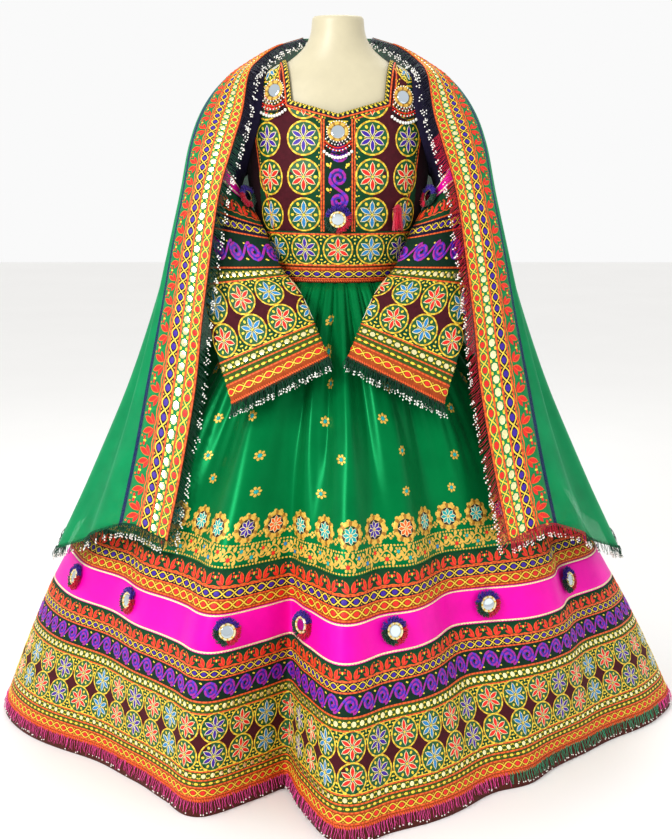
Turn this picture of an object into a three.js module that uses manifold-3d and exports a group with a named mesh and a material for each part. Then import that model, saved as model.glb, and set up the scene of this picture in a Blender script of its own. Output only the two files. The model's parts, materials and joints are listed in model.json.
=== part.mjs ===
// Afghan gown with its matching shawl, worn by a limbless dress form on a pole and a round base.
// The gown is cut as a bodice front and back, a waist band and its trim, sleeves in four pieces, and a full
// skirt of satin, trim, stripe and border. The shawl lies over the shoulders like an open cape.
// Millimetres, +Z up. The floor is z = 0, the origin is under the pole, and the front of the gown faces -Y.
// Left and right are as seen from the front, so left is -X.
import * as THREE from "three";
import Module from "manifold-3d";

const wasm = await Module();
wasm.setup();

// Driving sizes
const seam = 0.3; // gap between two pieces that are sewn together
const cloth = 1.8; // thickness of the gown's cloth
const trimCloth = 1.2; // thickness of what is sewn on top
const bodiceLift = 3; // from the figure's skin to the inside of the bodice

const waistSeam = 990;
const waistTrimTop = 1022;
const waistBandTop = 1095;
const satinEnd = 465.5;
const trimEnd = 386;
const stripeEnd = 313;
const hemFold = 40; // the border's plain hem is below this, and reaches the floor

const armholeMiddle = 1311;
const armholeHigh = 100; // half height
const armholeDeep = 60; // half depth
const neckPoint = { x: 106 };
const neckCorner = { x: 93, z: 1355.5 };
const neckBottom = 1328;
const backNeckCorner = { x: 88, z: 1424 };
const backNeckBottom = 1412;

const poleRadius = 14;
const baseRadius = 150;
const baseThick = 12;

// The dress form: half width, and depth to the front and to the back, at each height
const figure = [
  { z: 750, wide: 138, front: 92, back: 102 },
  { z: 768, wide: 157, front: 107, back: 119 },
  { z: 808, wide: 161, front: 111, back: 124 },
  { z: 888, wide: 150, front: 108, back: 118 },
  { z: 968, wide: 128, front: 95, back: 100 },
  { z: 1028, wide: 122, front: 92, back: 92 },
  { z: 1098, wide: 134, front: 104, back: 96 },
  { z: 1158, wide: 150, front: 122, back: 102 },
  { z: 1208, wide: 162, front: 134, back: 106 },
  { z: 1248, wide: 170, front: 130, back: 107 },
  { z: 1288, wide: 178, front: 118, back: 105 },
  { z: 1328, wide: 183, front: 104, back: 100 },
  { z: 1363, wide: 183, front: 92, back: 92 },
  { z: 1388, wide: 174, front: 83, back: 85 },
  { z: 1408, wide: 152, front: 76, back: 78 },
  { z: 1423, wide: 128, front: 70, back: 72 },
  { z: 1438, wide: 103, front: 64, back: 68 },
  { z: 1458, wide: 78, front: 60, back: 64 },
  { z: 1478, wide: 63, front: 57, back: 60 },
  { z: 1498, wide: 56, front: 55, back: 56 },
  { z: 1524, wide: 53, front: 53, back: 53 },
  { z: 1528, wide: 50, front: 50, back: 50 },
];

// The gown's body over that figure, from the waist seam to the neck
const gown = [
  { z: 990, wide: 146, front: 114, back: 107 },
  { z: 1022, wide: 151, front: 118, back: 109 },
  { z: 1098, wide: 163, front: 129, back: 113 },
  { z: 1158, wide: 178, front: 144, back: 117 },
  { z: 1208, wide: 186, front: 152, back: 119 },
  { z: 1248, wide: 187, front: 142, back: 118 },
  { z: 1288, wide: 187, front: 126, back: 111 },
  { z: 1328, wide: 187, front: 108, back: 104 },
  { z: 1363, wide: 185, front: 93, back: 93 },
  { z: 1388, wide: 174, front: 83, back: 85 },
  { z: 1408, wide: 152, front: 76, back: 78 },
  { z: 1423, wide: 128, front: 70, back: 72 },
  { z: 1438, wide: 103, front: 64, back: 68 },
  { z: 1458, wide: 78, front: 60, back: 64 },
];

// The skirt's plan is an ellipse at each height, and fold is the share of the deep folds that shows there
const skirt = [
  { z: 0, wide: 757, front: 525, back: 500, fold: 1 },
  { z: 28, wide: 750, front: 520, back: 495, fold: 1 },
  { z: 178, wide: 685, front: 495, back: 465, fold: 0.98 },
  { z: 328, wide: 610, front: 460, back: 430, fold: 0.95 },
  { z: 478, wide: 525, front: 410, back: 385, fold: 0.62 },
  { z: 628, wide: 430, front: 345, back: 330, fold: 0.36 },
  { z: 778, wide: 325, front: 270, back: 258, fold: 0.17 },
  { z: 878, wide: 245, front: 203, back: 194, fold: 0.07 },
  { z: 940, wide: 186, front: 152, back: 144, fold: 0.02 },
  { z: 990, wide: 148, front: 116, back: 109, fold: 0 },
];

// The deep folds round the skirt. The angle runs from the front, through +X, to the back. high is how far the
// cloth stands out of the ellipse at the stripe, and low at the hem
const folds = [
  { angle: -180, high: 20, low: 30 },
  { angle: -163, high: -35, low: -45 },
  { angle: -147, high: 24, low: 34 },
  { angle: -130, high: -42, low: -55 },
  { angle: -113, high: 16, low: 26 },
  { angle: -92, high: 20, low: 5 },
  { angle: -73, high: -50, low: -90 },
  { angle: -62, high: -62, low: -118 },
  { angle: -50, high: -34, low: -88 },
  { angle: -38, high: 0, low: -32 },
  { angle: -28, high: 32, low: 12 },
  { angle: -21, high: -50, low: -78 },
  { angle: -15, high: -116, low: -137 },
  { angle: -8, high: -46, low: -40 },
  { angle: 0, high: 52, low: 84 },
  { angle: 10, high: 8, low: 48 },
  { angle: 26, high: -60, low: -18 },
  { angle: 38, high: -132, low: -78 },
  { angle: 47, high: -128, low: -88 },
  { angle: 57, high: -84, low: -124 },
  { angle: 66, high: -82, low: -138 },
  { angle: 76, high: -88, low: -120 },
  { angle: 87, high: -30, low: -40 },
  { angle: 97, high: 12, low: 27 },
  { angle: 112, high: -36, low: -40 },
  { angle: 128, high: 22, low: 32 },
  { angle: 146, high: -40, low: -52 },
  { angle: 163, high: 26, low: 36 },
  { angle: 180, high: 20, low: 30 },
];
const highAt = 328; // where the folds stand out as far as high says
const lowAt = 28; // and as low says

const drapes = 18; // soft folds half way down the satin
const gathers = 27; // pleats at the waist seam
const gatherSize = [
  { z: 0, gather: 0, drape: 2 },
  { z: 328, gather: 0, drape: 4 },
  { z: 528, gather: 0, drape: 10 },
  { z: 678, gather: 1, drape: 12 },
  { z: 828, gather: 5, drape: 7 },
  { z: 940, gather: 5.5, drape: 2 },
  { z: 990, gather: 3.2, drape: 0 },
];

// The sleeve on the left, from armhole to cuff: its outer edge, its inner edge and half its depth
const sleeve = [
  { along: 0.08, outX: -184, outY: 0, outZ: 1420, inX: -197, inY: 0, inZ: 1203, thick: 68 },
  { along: 0.18, outX: -220, outY: 0, outZ: 1394, inX: -200, inY: -3, inZ: 1193, thick: 64 },
  { along: 0.32, outX: -252, outY: 0, outZ: 1328, inX: -202, inY: -14, inZ: 1181, thick: 56 },
  { along: 0.48, outX: -270, outY: -8, outZ: 1235, inX: -191, inY: -42, inZ: 1156, thick: 46 },
  { along: 0.62, outX: -278, outY: -35, outZ: 1130, inX: -156, inY: -85, inZ: 1098, thick: 40 },
  { along: 0.75, outX: -276, outY: -90, outZ: 1020, inX: -119, inY: -130, inZ: 1024, thick: 34 },
  { along: 0.88, outX: -258, outY: -172, outZ: 905, inX: -73, inY: -178, inZ: 968, thick: 30 },
  { along: 1, outX: -206, outY: -298, outZ: 768, inX: -20, inY: -282, inZ: 859, thick: 26 },
];
const sleeveStripeStart = 0.4;
const sleeveStripeEnd = 0.5;
const cuffStart = 0.7; // where the medallion cuff is sewn to the scrolled forearm

// The shawl on the left, as five lines from the neck to the lower edge: the beaded edge in front, the outer
// edge of the embroidered band, the side, the back corner and the middle of the back
const shawl = [
  {
    line: 0,
    points: [
      [-72, 34, 1496], [-125, 27, 1478], [-163, 4, 1450], [-182, -42, 1419], [-193, -86, 1343], [-212, -116, 1275],
      [-239, -134, 1180], [-258, -158, 1050], [-272, -196, 930], [-287, -218, 790], [-316, -270, 620],
      [-338, -324, 506],
    ],
  },
  {
    line: 1,
    points: [
      [-74, 38, 1496], [-135, 36, 1476], [-192, 18, 1443], [-236, -4, 1408], [-272, -38, 1350], [-296, -68, 1280],
      [-314, -94, 1180], [-338, -112, 1060], [-358, -132, 945], [-384, -166, 800], [-408, -222, 655],
      [-434, -270, 525],
    ],
  },
  {
    line: 2,
    points: [
      [-74, 46, 1496], [-140, 50, 1472], [-200, 44, 1434], [-248, 34, 1388], [-280, 26, 1332], [-298, 22, 1262],
      [-314, 18, 1165], [-340, 12, 1040], [-374, 0, 915], [-426, -20, 770], [-508, -40, 590], [-592, -55, 420],
    ],
  },
  {
    line: 3,
    points: [
      [-56, 68, 1498], [-102, 92, 1462], [-150, 116, 1416], [-192, 134, 1362], [-222, 145, 1300],
      [-246, 154, 1225], [-268, 164, 1130], [-292, 180, 1020], [-324, 214, 905], [-368, 268, 770],
      [-428, 334, 610], [-478, 390, 470],
    ],
  },
  {
    line: 4,
    points: [
      [0, 82, 1500], [0, 100, 1462], [0, 121, 1412], [0, 136, 1355], [0, 147, 1295], [0, 156, 1225],
      [0, 163, 1135], [0, 174, 1040], [0, 212, 930], [0, 290, 810], [0, 378, 680], [0, 448, 560],
    ],
  },
];
const shawlDrop = 9.3; // lowers the shawl until it rests on the sleeve heads
const shawlCloth = 1.2;
const shawlFolds = 6; // on each half, between the band and the middle of the back
const shawlFoldDeep = 26; // at the lower edge
const shawlSideLine = 2.25; // where the side stretches end and the back one starts

// Ornaments: rings of points at a radius and a height above the cloth
const pompom = [
  { radius: 23, height: 0 },
  { radius: 27, height: 5 },
  { radius: 15, height: 12 },
];
const drop = [
  { radius: 23, height: 0 },
  { radius: 23, height: 3 },
  { radius: 18, height: 5 },
];
const tassel = [
  { radius: 3, height: 0 },
  { radius: 8, height: 6 },
  { radius: 10, height: 30 },
  { radius: 8, height: 52 },
];
const stripeMiddle = 352;
const pompomAngles = [-80, -59, -26, -9, 13.5, 48, 76, 101, 126, 151, 176, -159, -134, -107];
const dropPlaces = [
  { side: "left", x: -128, z: 1376 },
  { side: "centre", x: 0, z: 1292 },
  { side: "right", x: 130, z: 1362 },
];
const frontPompomAt = { x: 0, z: 1124 };
const tasselAt = { x: 118, z: 1152 };
const sleevePompomAt = { along: 0.49, turn: 205 };

// Fringes: how many strands each has, and how long they hang
const strip = 1.8; // thickness of the strip that holds the strands
const strand = 0.8; // radius of a strand
// off is how far a strand's end stands off the cloth
const hemStrands = { count: 64, from: 28, to: 38, tip: 4, off: 0 };
const cuffStrands = { count: 12, from: 0.9, to: 0.98, long: 28, off: 2 };
const edgeStrands = { count: 18, rows: 6, long: 30, off: 7 };
const shawlHemStrands = { count: 30, long: 30, off: 3 };

const smooth = (a, b, x) => THREE.MathUtils.smoothstep(x, a, b);
const lerp = THREE.MathUtils.lerp;
const radians = THREE.MathUtils.degToRad;
const vector = (x, y, z) => new THREE.Vector3(x, y, z);
const steps = (count, from = 0, to = 1) => Array.from({ length: count + 1 }, (_, i) => lerp(from, to, i / count));

// The smooth curve through one column of a table, read by another column
function track(rows, by, column) {
  const last = rows.length - 1;
  const slope = rows.map((_, i) => {
    const before = rows[Math.max(0, i - 1)];
    const after = rows[Math.min(last, i + 1)];
    return (after[column] - before[column]) / (after[by] - before[by]);
  });
  return (at) => {
    if (at <= rows[0][by]) return rows[0][column];
    if (at >= rows[last][by]) return rows[last][column];
    const i = rows.findIndex((row) => row[by] > at) - 1;
    const length = rows[i + 1][by] - rows[i][by];
    const t = (at - rows[i][by]) / length;
    const start = rows[i][column] * (1 + 2 * t) * (1 - t) ** 2 + rows[i + 1][column] * t * t * (3 - 2 * t);
    return start + length * (slope[i] * t * (1 - t) ** 2 - slope[i + 1] * t * t * (1 - t));
  };
}

// Shapes are kept as points and triangles until they become meshes
const bodyOf = () => ({ points: [], faces: [] });

function quad(shape, a, b, c, d) {
  shape.faces.push([a, b, c], [a, c, d]);
}

// The outward normal at each point of a grid whose rows run up and whose columns run round. axis, where it is
// given, says for each row which way is up, so that the normals lie in that row's plane
function normalsOf(grid, { closed = false, axis } = {}) {
  return grid.map((row, r) =>
    row.map((_, c) => {
      const count = row.length;
      const next = closed ? (c + 1) % count : Math.min(c + 1, count - 1);
      const before = closed ? (c + count - 1) % count : Math.max(c - 1, 0);
      const across = row[next].clone().sub(row[before]);
      const up = grid[Math.min(r + 1, grid.length - 1)][c].clone().sub(grid[Math.max(r - 1, 0)][c]);
      return across.cross(axis ? axis(r) : up).normalize();
    }),
  );
}

const level = () => vector(0, 0, 1);

// The grid moved out along its normals
function movedOut(grid, distance, normals) {
  return grid.map((row, r) => row.map((p, c) => p.clone().addScaledVector(normals[r][c], distance)));
}

// A thin wall between two grids of the same shape. Each square is cut along its shorter diagonal
function wallBetween(inside, outside, closed = false) {
  const shape = bodyOf();
  const rows = inside.length;
  const columns = inside[0].length;
  shape.points.push(...inside.flat(), ...outside.flat());
  const at = (layer, r, c) => layer * rows * columns + r * columns + (c % columns);
  const spans = closed ? columns : columns - 1;
  for (let c = 0; c < spans; c++) {
    for (let r = 0; r < rows - 1; r++) {
      const corners = (layer) => [at(layer, r, c), at(layer, r, c + 1), at(layer, r + 1, c + 1), at(layer, r + 1, c)];
      const [a, b, d, e] = corners(1).map((i) => shape.points[i]);
      const turned = (list) => (a.distanceTo(d) > b.distanceTo(e) ? [...list.slice(1), list[0]] : list);
      quad(shape, ...turned(corners(1)));
      const [f, g, h, i] = turned(corners(0));
      quad(shape, f, i, h, g);
    }
    quad(shape, at(1, 0, c + 1), at(1, 0, c), at(0, 0, c), at(0, 0, c + 1));
    quad(shape, at(1, rows - 1, c), at(1, rows - 1, c + 1), at(0, rows - 1, c + 1), at(0, rows - 1, c));
  }
  if (!closed) {
    const end = columns - 1;
    for (let r = 0; r < rows - 1; r++) {
      quad(shape, at(1, r, 0), at(1, r + 1, 0), at(0, r + 1, 0), at(0, r, 0));
      quad(shape, at(1, r + 1, end), at(1, r, end), at(0, r, end), at(0, r + 1, end));
    }
  }
  return shape;
}

// A wall of cloth on a grid: lift is from the grid to the cloth's inside, and thick is its thickness
function wall(grid, { lift = 0, thick = cloth, closed = false, axis, normals } = {}) {
  const ways = normals ?? normalsOf(grid, { closed, axis });
  return wallBetween(movedOut(grid, lift, ways), movedOut(grid, lift + thick, ways), closed);
}

// A solid whose rings are closed loops from bottom to top, with flat ends
function loft(rings) {
  const shape = bodyOf();
  const count = rings[0].length;
  rings.forEach((ring) => shape.points.push(...ring));
  for (let r = 0; r < rings.length - 1; r++)
    for (let c = 0; c < count; c++) {
      const next = (c + 1) % count;
      quad(shape, r * count + c, r * count + next, (r + 1) * count + next, (r + 1) * count + c);
    }
  const middle = (ring) => ring.reduce((sum, p) => sum.add(p), vector(0, 0, 0)).divideScalar(count);
  const bottom = shape.points.push(middle(rings[0])) - 1;
  const top = shape.points.push(middle(rings.at(-1))) - 1;
  const start = (rings.length - 1) * count;
  for (let c = 0; c < count; c++) {
    const next = (c + 1) % count;
    shape.faces.push([bottom, next, c], [top, start + c, start + next]);
  }
  return shape;
}

function manifoldOf(shape) {
  const vertProperties = new Float32Array(shape.points.flatMap((p) => [p.x, p.y, p.z]));
  const triVerts = new Uint32Array(shape.faces.flat());
  return new wasm.Manifold(new wasm.Mesh({ numProp: 3, vertProperties, triVerts }));
}

// Several overlapping shapes made one
function fused(shapes) {
  const mesh = wasm.Manifold.union(shapes.map(manifoldOf)).getMesh();
  const shape = bodyOf();
  for (let i = 0; i < mesh.numVert; i++) {
    const at = i * mesh.numProp;
    shape.points.push(vector(...mesh.vertProperties.subarray(at, at + 3)));
  }
  for (let i = 0; i < mesh.triVerts.length; i += 3) shape.faces.push([...mesh.triVerts.subarray(i, i + 3)]);
  return shape;
}

const materials = {
  form: new THREE.MeshStandardMaterial({ color: 0xe6dfc6, roughness: 0.55, metalness: 0 }),
  stand: new THREE.MeshStandardMaterial({ color: 0xb9bcc0, roughness: 0.3, metalness: 0.9 }),
  satin: new THREE.MeshStandardMaterial({ color: 0x0b8a4a, roughness: 0.35, metalness: 0 }),
  magenta: new THREE.MeshStandardMaterial({ color: 0xd8189a, roughness: 0.45, metalness: 0 }),
  maroon: new THREE.MeshStandardMaterial({ color: 0x5a1a22, roughness: 0.7, metalness: 0 }),
  gold: new THREE.MeshStandardMaterial({ color: 0xd9a436, roughness: 0.5, metalness: 0.2 }),
  orange: new THREE.MeshStandardMaterial({ color: 0xd9602b, roughness: 0.6, metalness: 0 }),
  chiffon: new THREE.MeshStandardMaterial({ color: 0x12804a, roughness: 0.5, metalness: 0 }),
  fringe: new THREE.MeshStandardMaterial({ color: 0xb02a66, roughness: 0.7, metalness: 0 }),
  wool: new THREE.MeshStandardMaterial({ color: 0x3a2a90, roughness: 0.9, metalness: 0 }),
  mirror: new THREE.MeshStandardMaterial({ color: 0xc8c6b8, roughness: 0.15, metalness: 0.9 }),
};

const dress = new THREE.Group();

function add(name, shape, material) {
  const geometry = new THREE.BufferGeometry();
  geometry.setAttribute("position", new THREE.Float32BufferAttribute(shape.points.flatMap((p) => [p.x, p.y, p.z]), 3));
  geometry.setIndex(shape.faces.flat());
  geometry.computeVertexNormals();
  const mesh = new THREE.Mesh(geometry, material);
  mesh.name = name;
  dress.add(mesh);
  return mesh;
}

// Dress form and stand
const formSides = 24;

function ringOf(wide, front, back, z, sides) {
  return steps(sides)
    .slice(0, sides)
    .map((turn) => {
      const angle = turn * 2 * Math.PI;
      const depth = Math.cos(angle) > 0 ? front : back;
      return vector(wide * Math.sin(angle), -depth * Math.cos(angle), z);
    });
}

function makeForm() {
  const rings = figure.map((row) => ringOf(row.wide, row.front, row.back, row.z, formSides));
  add("form_torso", loft(rings), materials.form);
  const poleBottom = baseThick + seam;
  const poleTop = figure[0].z - seam;
  const pole = [poleBottom, poleTop].map((z) => ringOf(poleRadius, poleRadius, poleRadius, z, 12));
  add("stand_pole", loft(pole), materials.stand);
  const edge = 3;
  const disc = [
    ringOf(baseRadius, baseRadius, baseRadius, 0, 24),
    ringOf(baseRadius, baseRadius, baseRadius, baseThick - edge, 24),
    ringOf(baseRadius - edge, baseRadius - edge, baseRadius - edge, baseThick, 24),
  ];
  add("stand_base", loft(disc), materials.stand);
}

// Bodice
const gownWide = track(gown, "z", "wide");
const gownFront = track(gown, "z", "front");
const gownBack = track(gown, "z", "back");

// The figure's skin under the gown, side -1 in front and 1 behind
function skinPoint(x, z, side) {
  const share = Math.min(1, Math.abs(x) / gownWide(z));
  const depth = side < 0 ? gownFront(z) : gownBack(z);
  return vector(x, side * depth * Math.sqrt(1 - share * share), z);
}

// The skin's own normal, the same for every piece that lies on it, and level at the waist's seams
function skinNormal(p) {
  const depth = p.y < 0 ? gownFront : gownBack;
  const value = (z) => (p.x / gownWide(z)) ** 2 + (p.y / depth(z)) ** 2;
  const rise = p.z < waistBandTop + 1 ? 0 : (value(p.z + 0.5) - value(p.z - 0.5)) / 1;
  return vector((2 * p.x) / gownWide(p.z) ** 2, (2 * p.y) / depth(p.z) ** 2, rise).normalize();
}

const skinWall = (grid, options) => wall(grid, { ...options, normals: grid.map((row) => row.map(skinNormal)) });

function skinWidth(y, z) {
  const depth = y < 0 ? gownFront(z) : gownBack(z);
  return gownWide(z) * Math.sqrt(Math.max(0, 1 - (y / depth) ** 2));
}

// The height of the shoulder's ridge at a distance from the middle
function ridge(x) {
  let low = 1363;
  let high = 1458;
  for (let i = 0; i < 40; i++) {
    const middle = (low + high) / 2;
    if (gownWide(middle) > x) low = middle;
    else high = middle;
  }
  return low;
}

const armholeShare = 0.84; // columns from here to the side seam end at the armhole
const strapShare = 0.54; // from here they end at the shoulder
const cornerShare = 0.5; // and from here at the side of the neckline
const armholeBottom = armholeMiddle - armholeHigh;
const armholeTop = { x: skinWidth(0, armholeMiddle + armholeHigh) };

// Where a column of the bodice ends
function panelTop(share, side) {
  const corner = side < 0 ? neckCorner : backNeckCorner;
  const bottom = side < 0 ? neckBottom : backNeckBottom;
  if (share >= armholeShare) {
    const turn = radians(-90 + ((1 - share) / (1 - armholeShare)) * 180);
    const y = side * armholeDeep * Math.cos(turn);
    const z = armholeMiddle + armholeHigh * Math.sin(turn);
    return { x: skinWidth(y, z), z };
  }
  if (share >= strapShare) {
    const x = lerp(neckPoint.x, armholeTop.x, (share - strapShare) / (armholeShare - strapShare));
    return { x, z: ridge(x) };
  }
  if (share >= cornerShare) {
    const t = (strapShare - share) / (strapShare - cornerShare);
    const start = ridge(neckPoint.x);
    return { x: lerp(neckPoint.x, corner.x, t), z: start - (start - corner.z) * t * t };
  }
  const t = share / cornerShare;
  return { x: corner.x * t, z: lerp(bottom, corner.z, side < 0 ? t : t * t) };
}

const frontShares = [0, 0.17, 0.34, 0.5, 0.513, 0.527, 0.54, 0.62, 0.7, 0.77, 0.84, 0.87, 0.9, 0.935, 0.97, 1];
const backShares = frontShares.filter((share) => ![0.17, 0.513].includes(share));

function bodiceGrid(side) {
  const half = side < 0 ? frontShares : backShares;
  const shares = [...half.slice(1).reverse().map((s) => -s), ...half].map((s) => -side * s);
  const lowRows = steps(2, waistBandTop + seam / 2, armholeBottom);
  const highRows = steps(8).slice(1);
  const low = lowRows.map((z) => shares.map((s) => skinPoint(s * gownWide(z), z, side)));
  const high = highRows.map((t) =>
    shares.map((s) => {
      const top = panelTop(Math.abs(s), side);
      const rise = 1 - (1 - t) ** 2;
      const x = lerp(Math.abs(s) * gownWide(armholeBottom), top.x, rise);
      return skinPoint(Math.sign(s) * x, lerp(armholeBottom, top.z, rise), side);
    }),
  );
  return [...low, ...high];
}

// A panel that stops short of the seams where the front meets the back
function shortOfSeam(shape, side) {
  shape.points.forEach((p) => (p.y = side * Math.max(side * p.y, seam / 2)));
  return shape;
}

const onBodice = bodiceLift + cloth + seam;

// The binding round the front of the neckline
function neckTrimGrid() {
  const width = 12;
  const half = [...steps(6, strapShare, cornerShare), 0.34, 0.17, 0];
  const shares = [...half.map((s) => -s), ...half.slice(0, -1).reverse()];
  const start = ridge(neckPoint.x);
  const line = (out) =>
    shares.map((s) => {
      const share = Math.abs(s);
      const top = panelTop(share, -1);
      const drop = (start - top.z) / (start - neckCorner.z);
      const side = share >= cornerShare;
      const x = top.x + (side ? out : (out * share) / cornerShare);
      const z = side ? lerp(ridge(neckPoint.x + out), neckCorner.z - out, drop) : top.z - out;
      return skinPoint(Math.sign(s) * x, z, -1);
    });
  return [line(width), line(width / 2), line(0)];
}

function waistRing(z, sides) {
  return ringOf(gownWide(z), gownFront(z), gownBack(z), z, sides);
}

function makeBodice() {
  for (const [name, side] of [["bodice_front", -1], ["bodice_back", 1]])
    add(name, shortOfSeam(skinWall(bodiceGrid(side), { lift: bodiceLift }), side), materials.maroon);
  const trim = skinWall(neckTrimGrid(), { lift: onBodice + 0.6, thick: trimCloth });
  add("neck_trim", shortOfSeam(trim, -1), materials.gold);
  const middle = frontShares.length - 1;
  const placket = bodiceGrid(-1)
    .slice(0, -3)
    .map((row) => row.slice(middle - 1, middle + 2));
  add("front_placket", skinWall(placket, { lift: onBodice, thick: trimCloth }), materials.gold);
  const sides = 28;
  const cut = { lift: bodiceLift, closed: true, axis: level };
  const rings = (...heights) => heights.map((z) => waistRing(z, sides));
  add("waist_band", wall(rings(waistTrimTop + seam / 2, waistBandTop - seam / 2), cut), materials.gold);
  add("waist_trim", wall(rings(waistSeam + seam / 2, waistTrimTop - seam / 2), cut), materials.orange);
}

// Skirt
const skirtWide = track(skirt, "z", "wide");
const skirtFront = track(skirt, "z", "front");
const skirtBack = track(skirt, "z", "back");
const foldShare = track(skirt, "z", "fold");
const foldHigh = track(folds, "angle", "high");
const foldLow = track(folds, "angle", "low");
const gatherDeep = track(gatherSize, "z", "gather");
const drapeDeep = track(gatherSize, "z", "drape");

// The inside of the skirt at an angle from the front, in degrees from -180 to 180
function skirtPoint(angle, z) {
  const turn = radians(angle);
  const depth = Math.cos(turn) > 0 ? skirtFront(z) : skirtBack(z);
  const ellipse = 1 / Math.hypot(Math.sin(turn) / skirtWide(z), Math.cos(turn) / depth);
  const low = THREE.MathUtils.clamp((highAt - z) / (highAt - lowAt), 0, 1);
  const fold = lerp(foldHigh(angle), foldLow(angle), low) * foldShare(z);
  const drape = drapeDeep(z) * Math.sin(drapes * turn + 1.1 * Math.sin(3 * turn) + 0.6 * Math.sin(5 * turn));
  const gather = gatherDeep(z) * Math.sin(gathers * turn + 0.9 * Math.sin(4 * turn));
  const radius = ellipse + fold + drape + gather;
  return vector(radius * Math.sin(turn), -radius * Math.cos(turn), z);
}

function skirtGrid(heights, sides) {
  const angles = steps(sides, -180, 180).slice(0, sides);
  return heights.map((z) => angles.map((angle) => skirtPoint(angle, z)));
}

const satinSides = 72;
const borderSides = 64;
const skirtCloth = 2.2;
const skirtCut = { closed: true, axis: level, thick: skirtCloth };

function makeSkirt() {
  const half = seam / 2;
  add("skirt_satin", wall(skirtGrid([satinEnd + half, 580, 710, 830, 930, waistSeam - half], satinSides), skirtCut),
    materials.satin);
  add("skirt_trim", wall(skirtGrid([trimEnd + half, satinEnd - half], borderSides), skirtCut), materials.orange);
  add("skirt_stripe", wall(skirtGrid([stripeEnd + half, trimEnd - half], borderSides), skirtCut), materials.magenta);
  add("skirt_border", wall(skirtGrid([0, hemFold, 170, stripeEnd - half], borderSides), skirtCut), materials.gold);
}

// Sleeves
const sleeveTrack = (key) => track(sleeve, "along", key);
const sleeveEdges = ["out", "in"].map((edge) => ["X", "Y", "Z"].map((axis) => sleeveTrack(edge + axis)));
const sleeveThick = sleeveTrack("thick");
const sleeveSides = 18;
const headLap = 4; // the sleeve head laps over the edge of the armhole
const headSeat = bodiceLift + cloth + 2;

function armholeRing() {
  return steps(sleeveSides)
    .slice(0, sleeveSides)
    .map((turn) => {
      const angle = turn * 2 * Math.PI;
      const y = (armholeDeep + headLap) * Math.sin(angle);
      const z = armholeMiddle + (armholeHigh + headLap) * Math.cos(angle);
      const p = vector(-skinWidth(y, z), y, z);
      return p.addScaledVector(skinNormal(p), headSeat);
    });
}

// The frame of the sleeve's section: its middle, the way to its outer edge, half the width, and the way to its
// back, which turns a little downwards towards the cuff
function sleeveFrame(along) {
  const [outer, inner] = sleeveEdges.map((tracks) => vector(...tracks.map((at) => at(along))));
  const out = outer.clone().sub(inner).multiplyScalar(0.5);
  const middle = inner.clone().add(out);
  const wide = out.length();
  out.normalize();
  const deep = vector(0, 1, 0).lerp(vector(0.1, 0.95, -0.1), smooth(0.4, 1, along));
  deep.addScaledVector(out, -deep.dot(out)).normalize();
  return { middle, out, wide, deep, axis: out.clone().cross(deep) };
}

function sleeveRing(along) {
  const { middle, out, wide, deep } = sleeveFrame(along);
  return steps(sleeveSides)
    .slice(0, sleeveSides)
    .map((turn) => {
      const angle = turn * 2 * Math.PI;
      const p = middle.clone().addScaledVector(out, wide * Math.cos(angle));
      return p.addScaledVector(deep, sleeveThick(along) * Math.sin(angle));
    });
}

// A length of the sleeve as the two faces of its cloth, the thickness in each ring's own plane. It stops short
// of the seams at the ends named
function sleeveFaces(places, { start, seams = [] }) {
  const grid = places.map(sleeveRing);
  const axes = places.map((along) => sleeveFrame(along).axis);
  if (start) {
    grid.unshift(start);
    axes.unshift(vector(-1, 0, 0));
  }
  const normals = normalsOf(grid, { closed: true, axis: (r) => axes[r] });
  const faces = [grid.map((row) => row.map((p) => p.clone())), movedOut(grid, cloth, normals)];
  for (const face of faces)
    for (const end of seams) {
      const [edge, inner] = end === "first" ? face : [face.at(-1), face.at(-2)];
      edge.forEach((p, i) => p.add(inner[i].clone().sub(p).setLength(seam * 3)));
    }
  return faces;
}

// The same grid on the other side
function mirrored(grid) {
  return grid.map((row) => row.map((p) => vector(-p.x, p.y, p.z)).reverse());
}

const forearmPlaces = steps(2, sleeveStripeEnd, cuffStart);
const cuffPlaces = steps(3, cuffStart, 1);

function makeSleeves() {
  const pieces = [
    [
      "sleeve_head",
      sleeveFaces([0.08, 0.18, 0.29, sleeveStripeStart], { start: armholeRing(), seams: ["last"] }),
      materials.maroon,
    ],
    ["sleeve_stripe", sleeveFaces([sleeveStripeStart, sleeveStripeEnd], { seams: ["first", "last"] }), materials.magenta],
    ["sleeve_forearm", sleeveFaces(forearmPlaces, { seams: ["first", "last"] }), materials.gold],
    ["sleeve_cuff", sleeveFaces(cuffPlaces, { seams: ["first"] }), materials.gold],
  ];
  for (const [name, faces, material] of pieces) {
    add(name + "_left", wallBetween(...faces, true), material);
    add(name + "_right", wallBetween(...faces.map(mirrored), true), material);
  }
}

// Shawl
const shawlLines = shawl.map(({ points }) =>
  points.map(([x, y, z], i) => ({ down: i / (points.length - 1), x, y, z: z - shawlDrop })),
);
const shawlTracks = shawlLines.map((rows) => ["x", "y", "z"].map((key) => track(rows, "down", key)));

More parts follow.
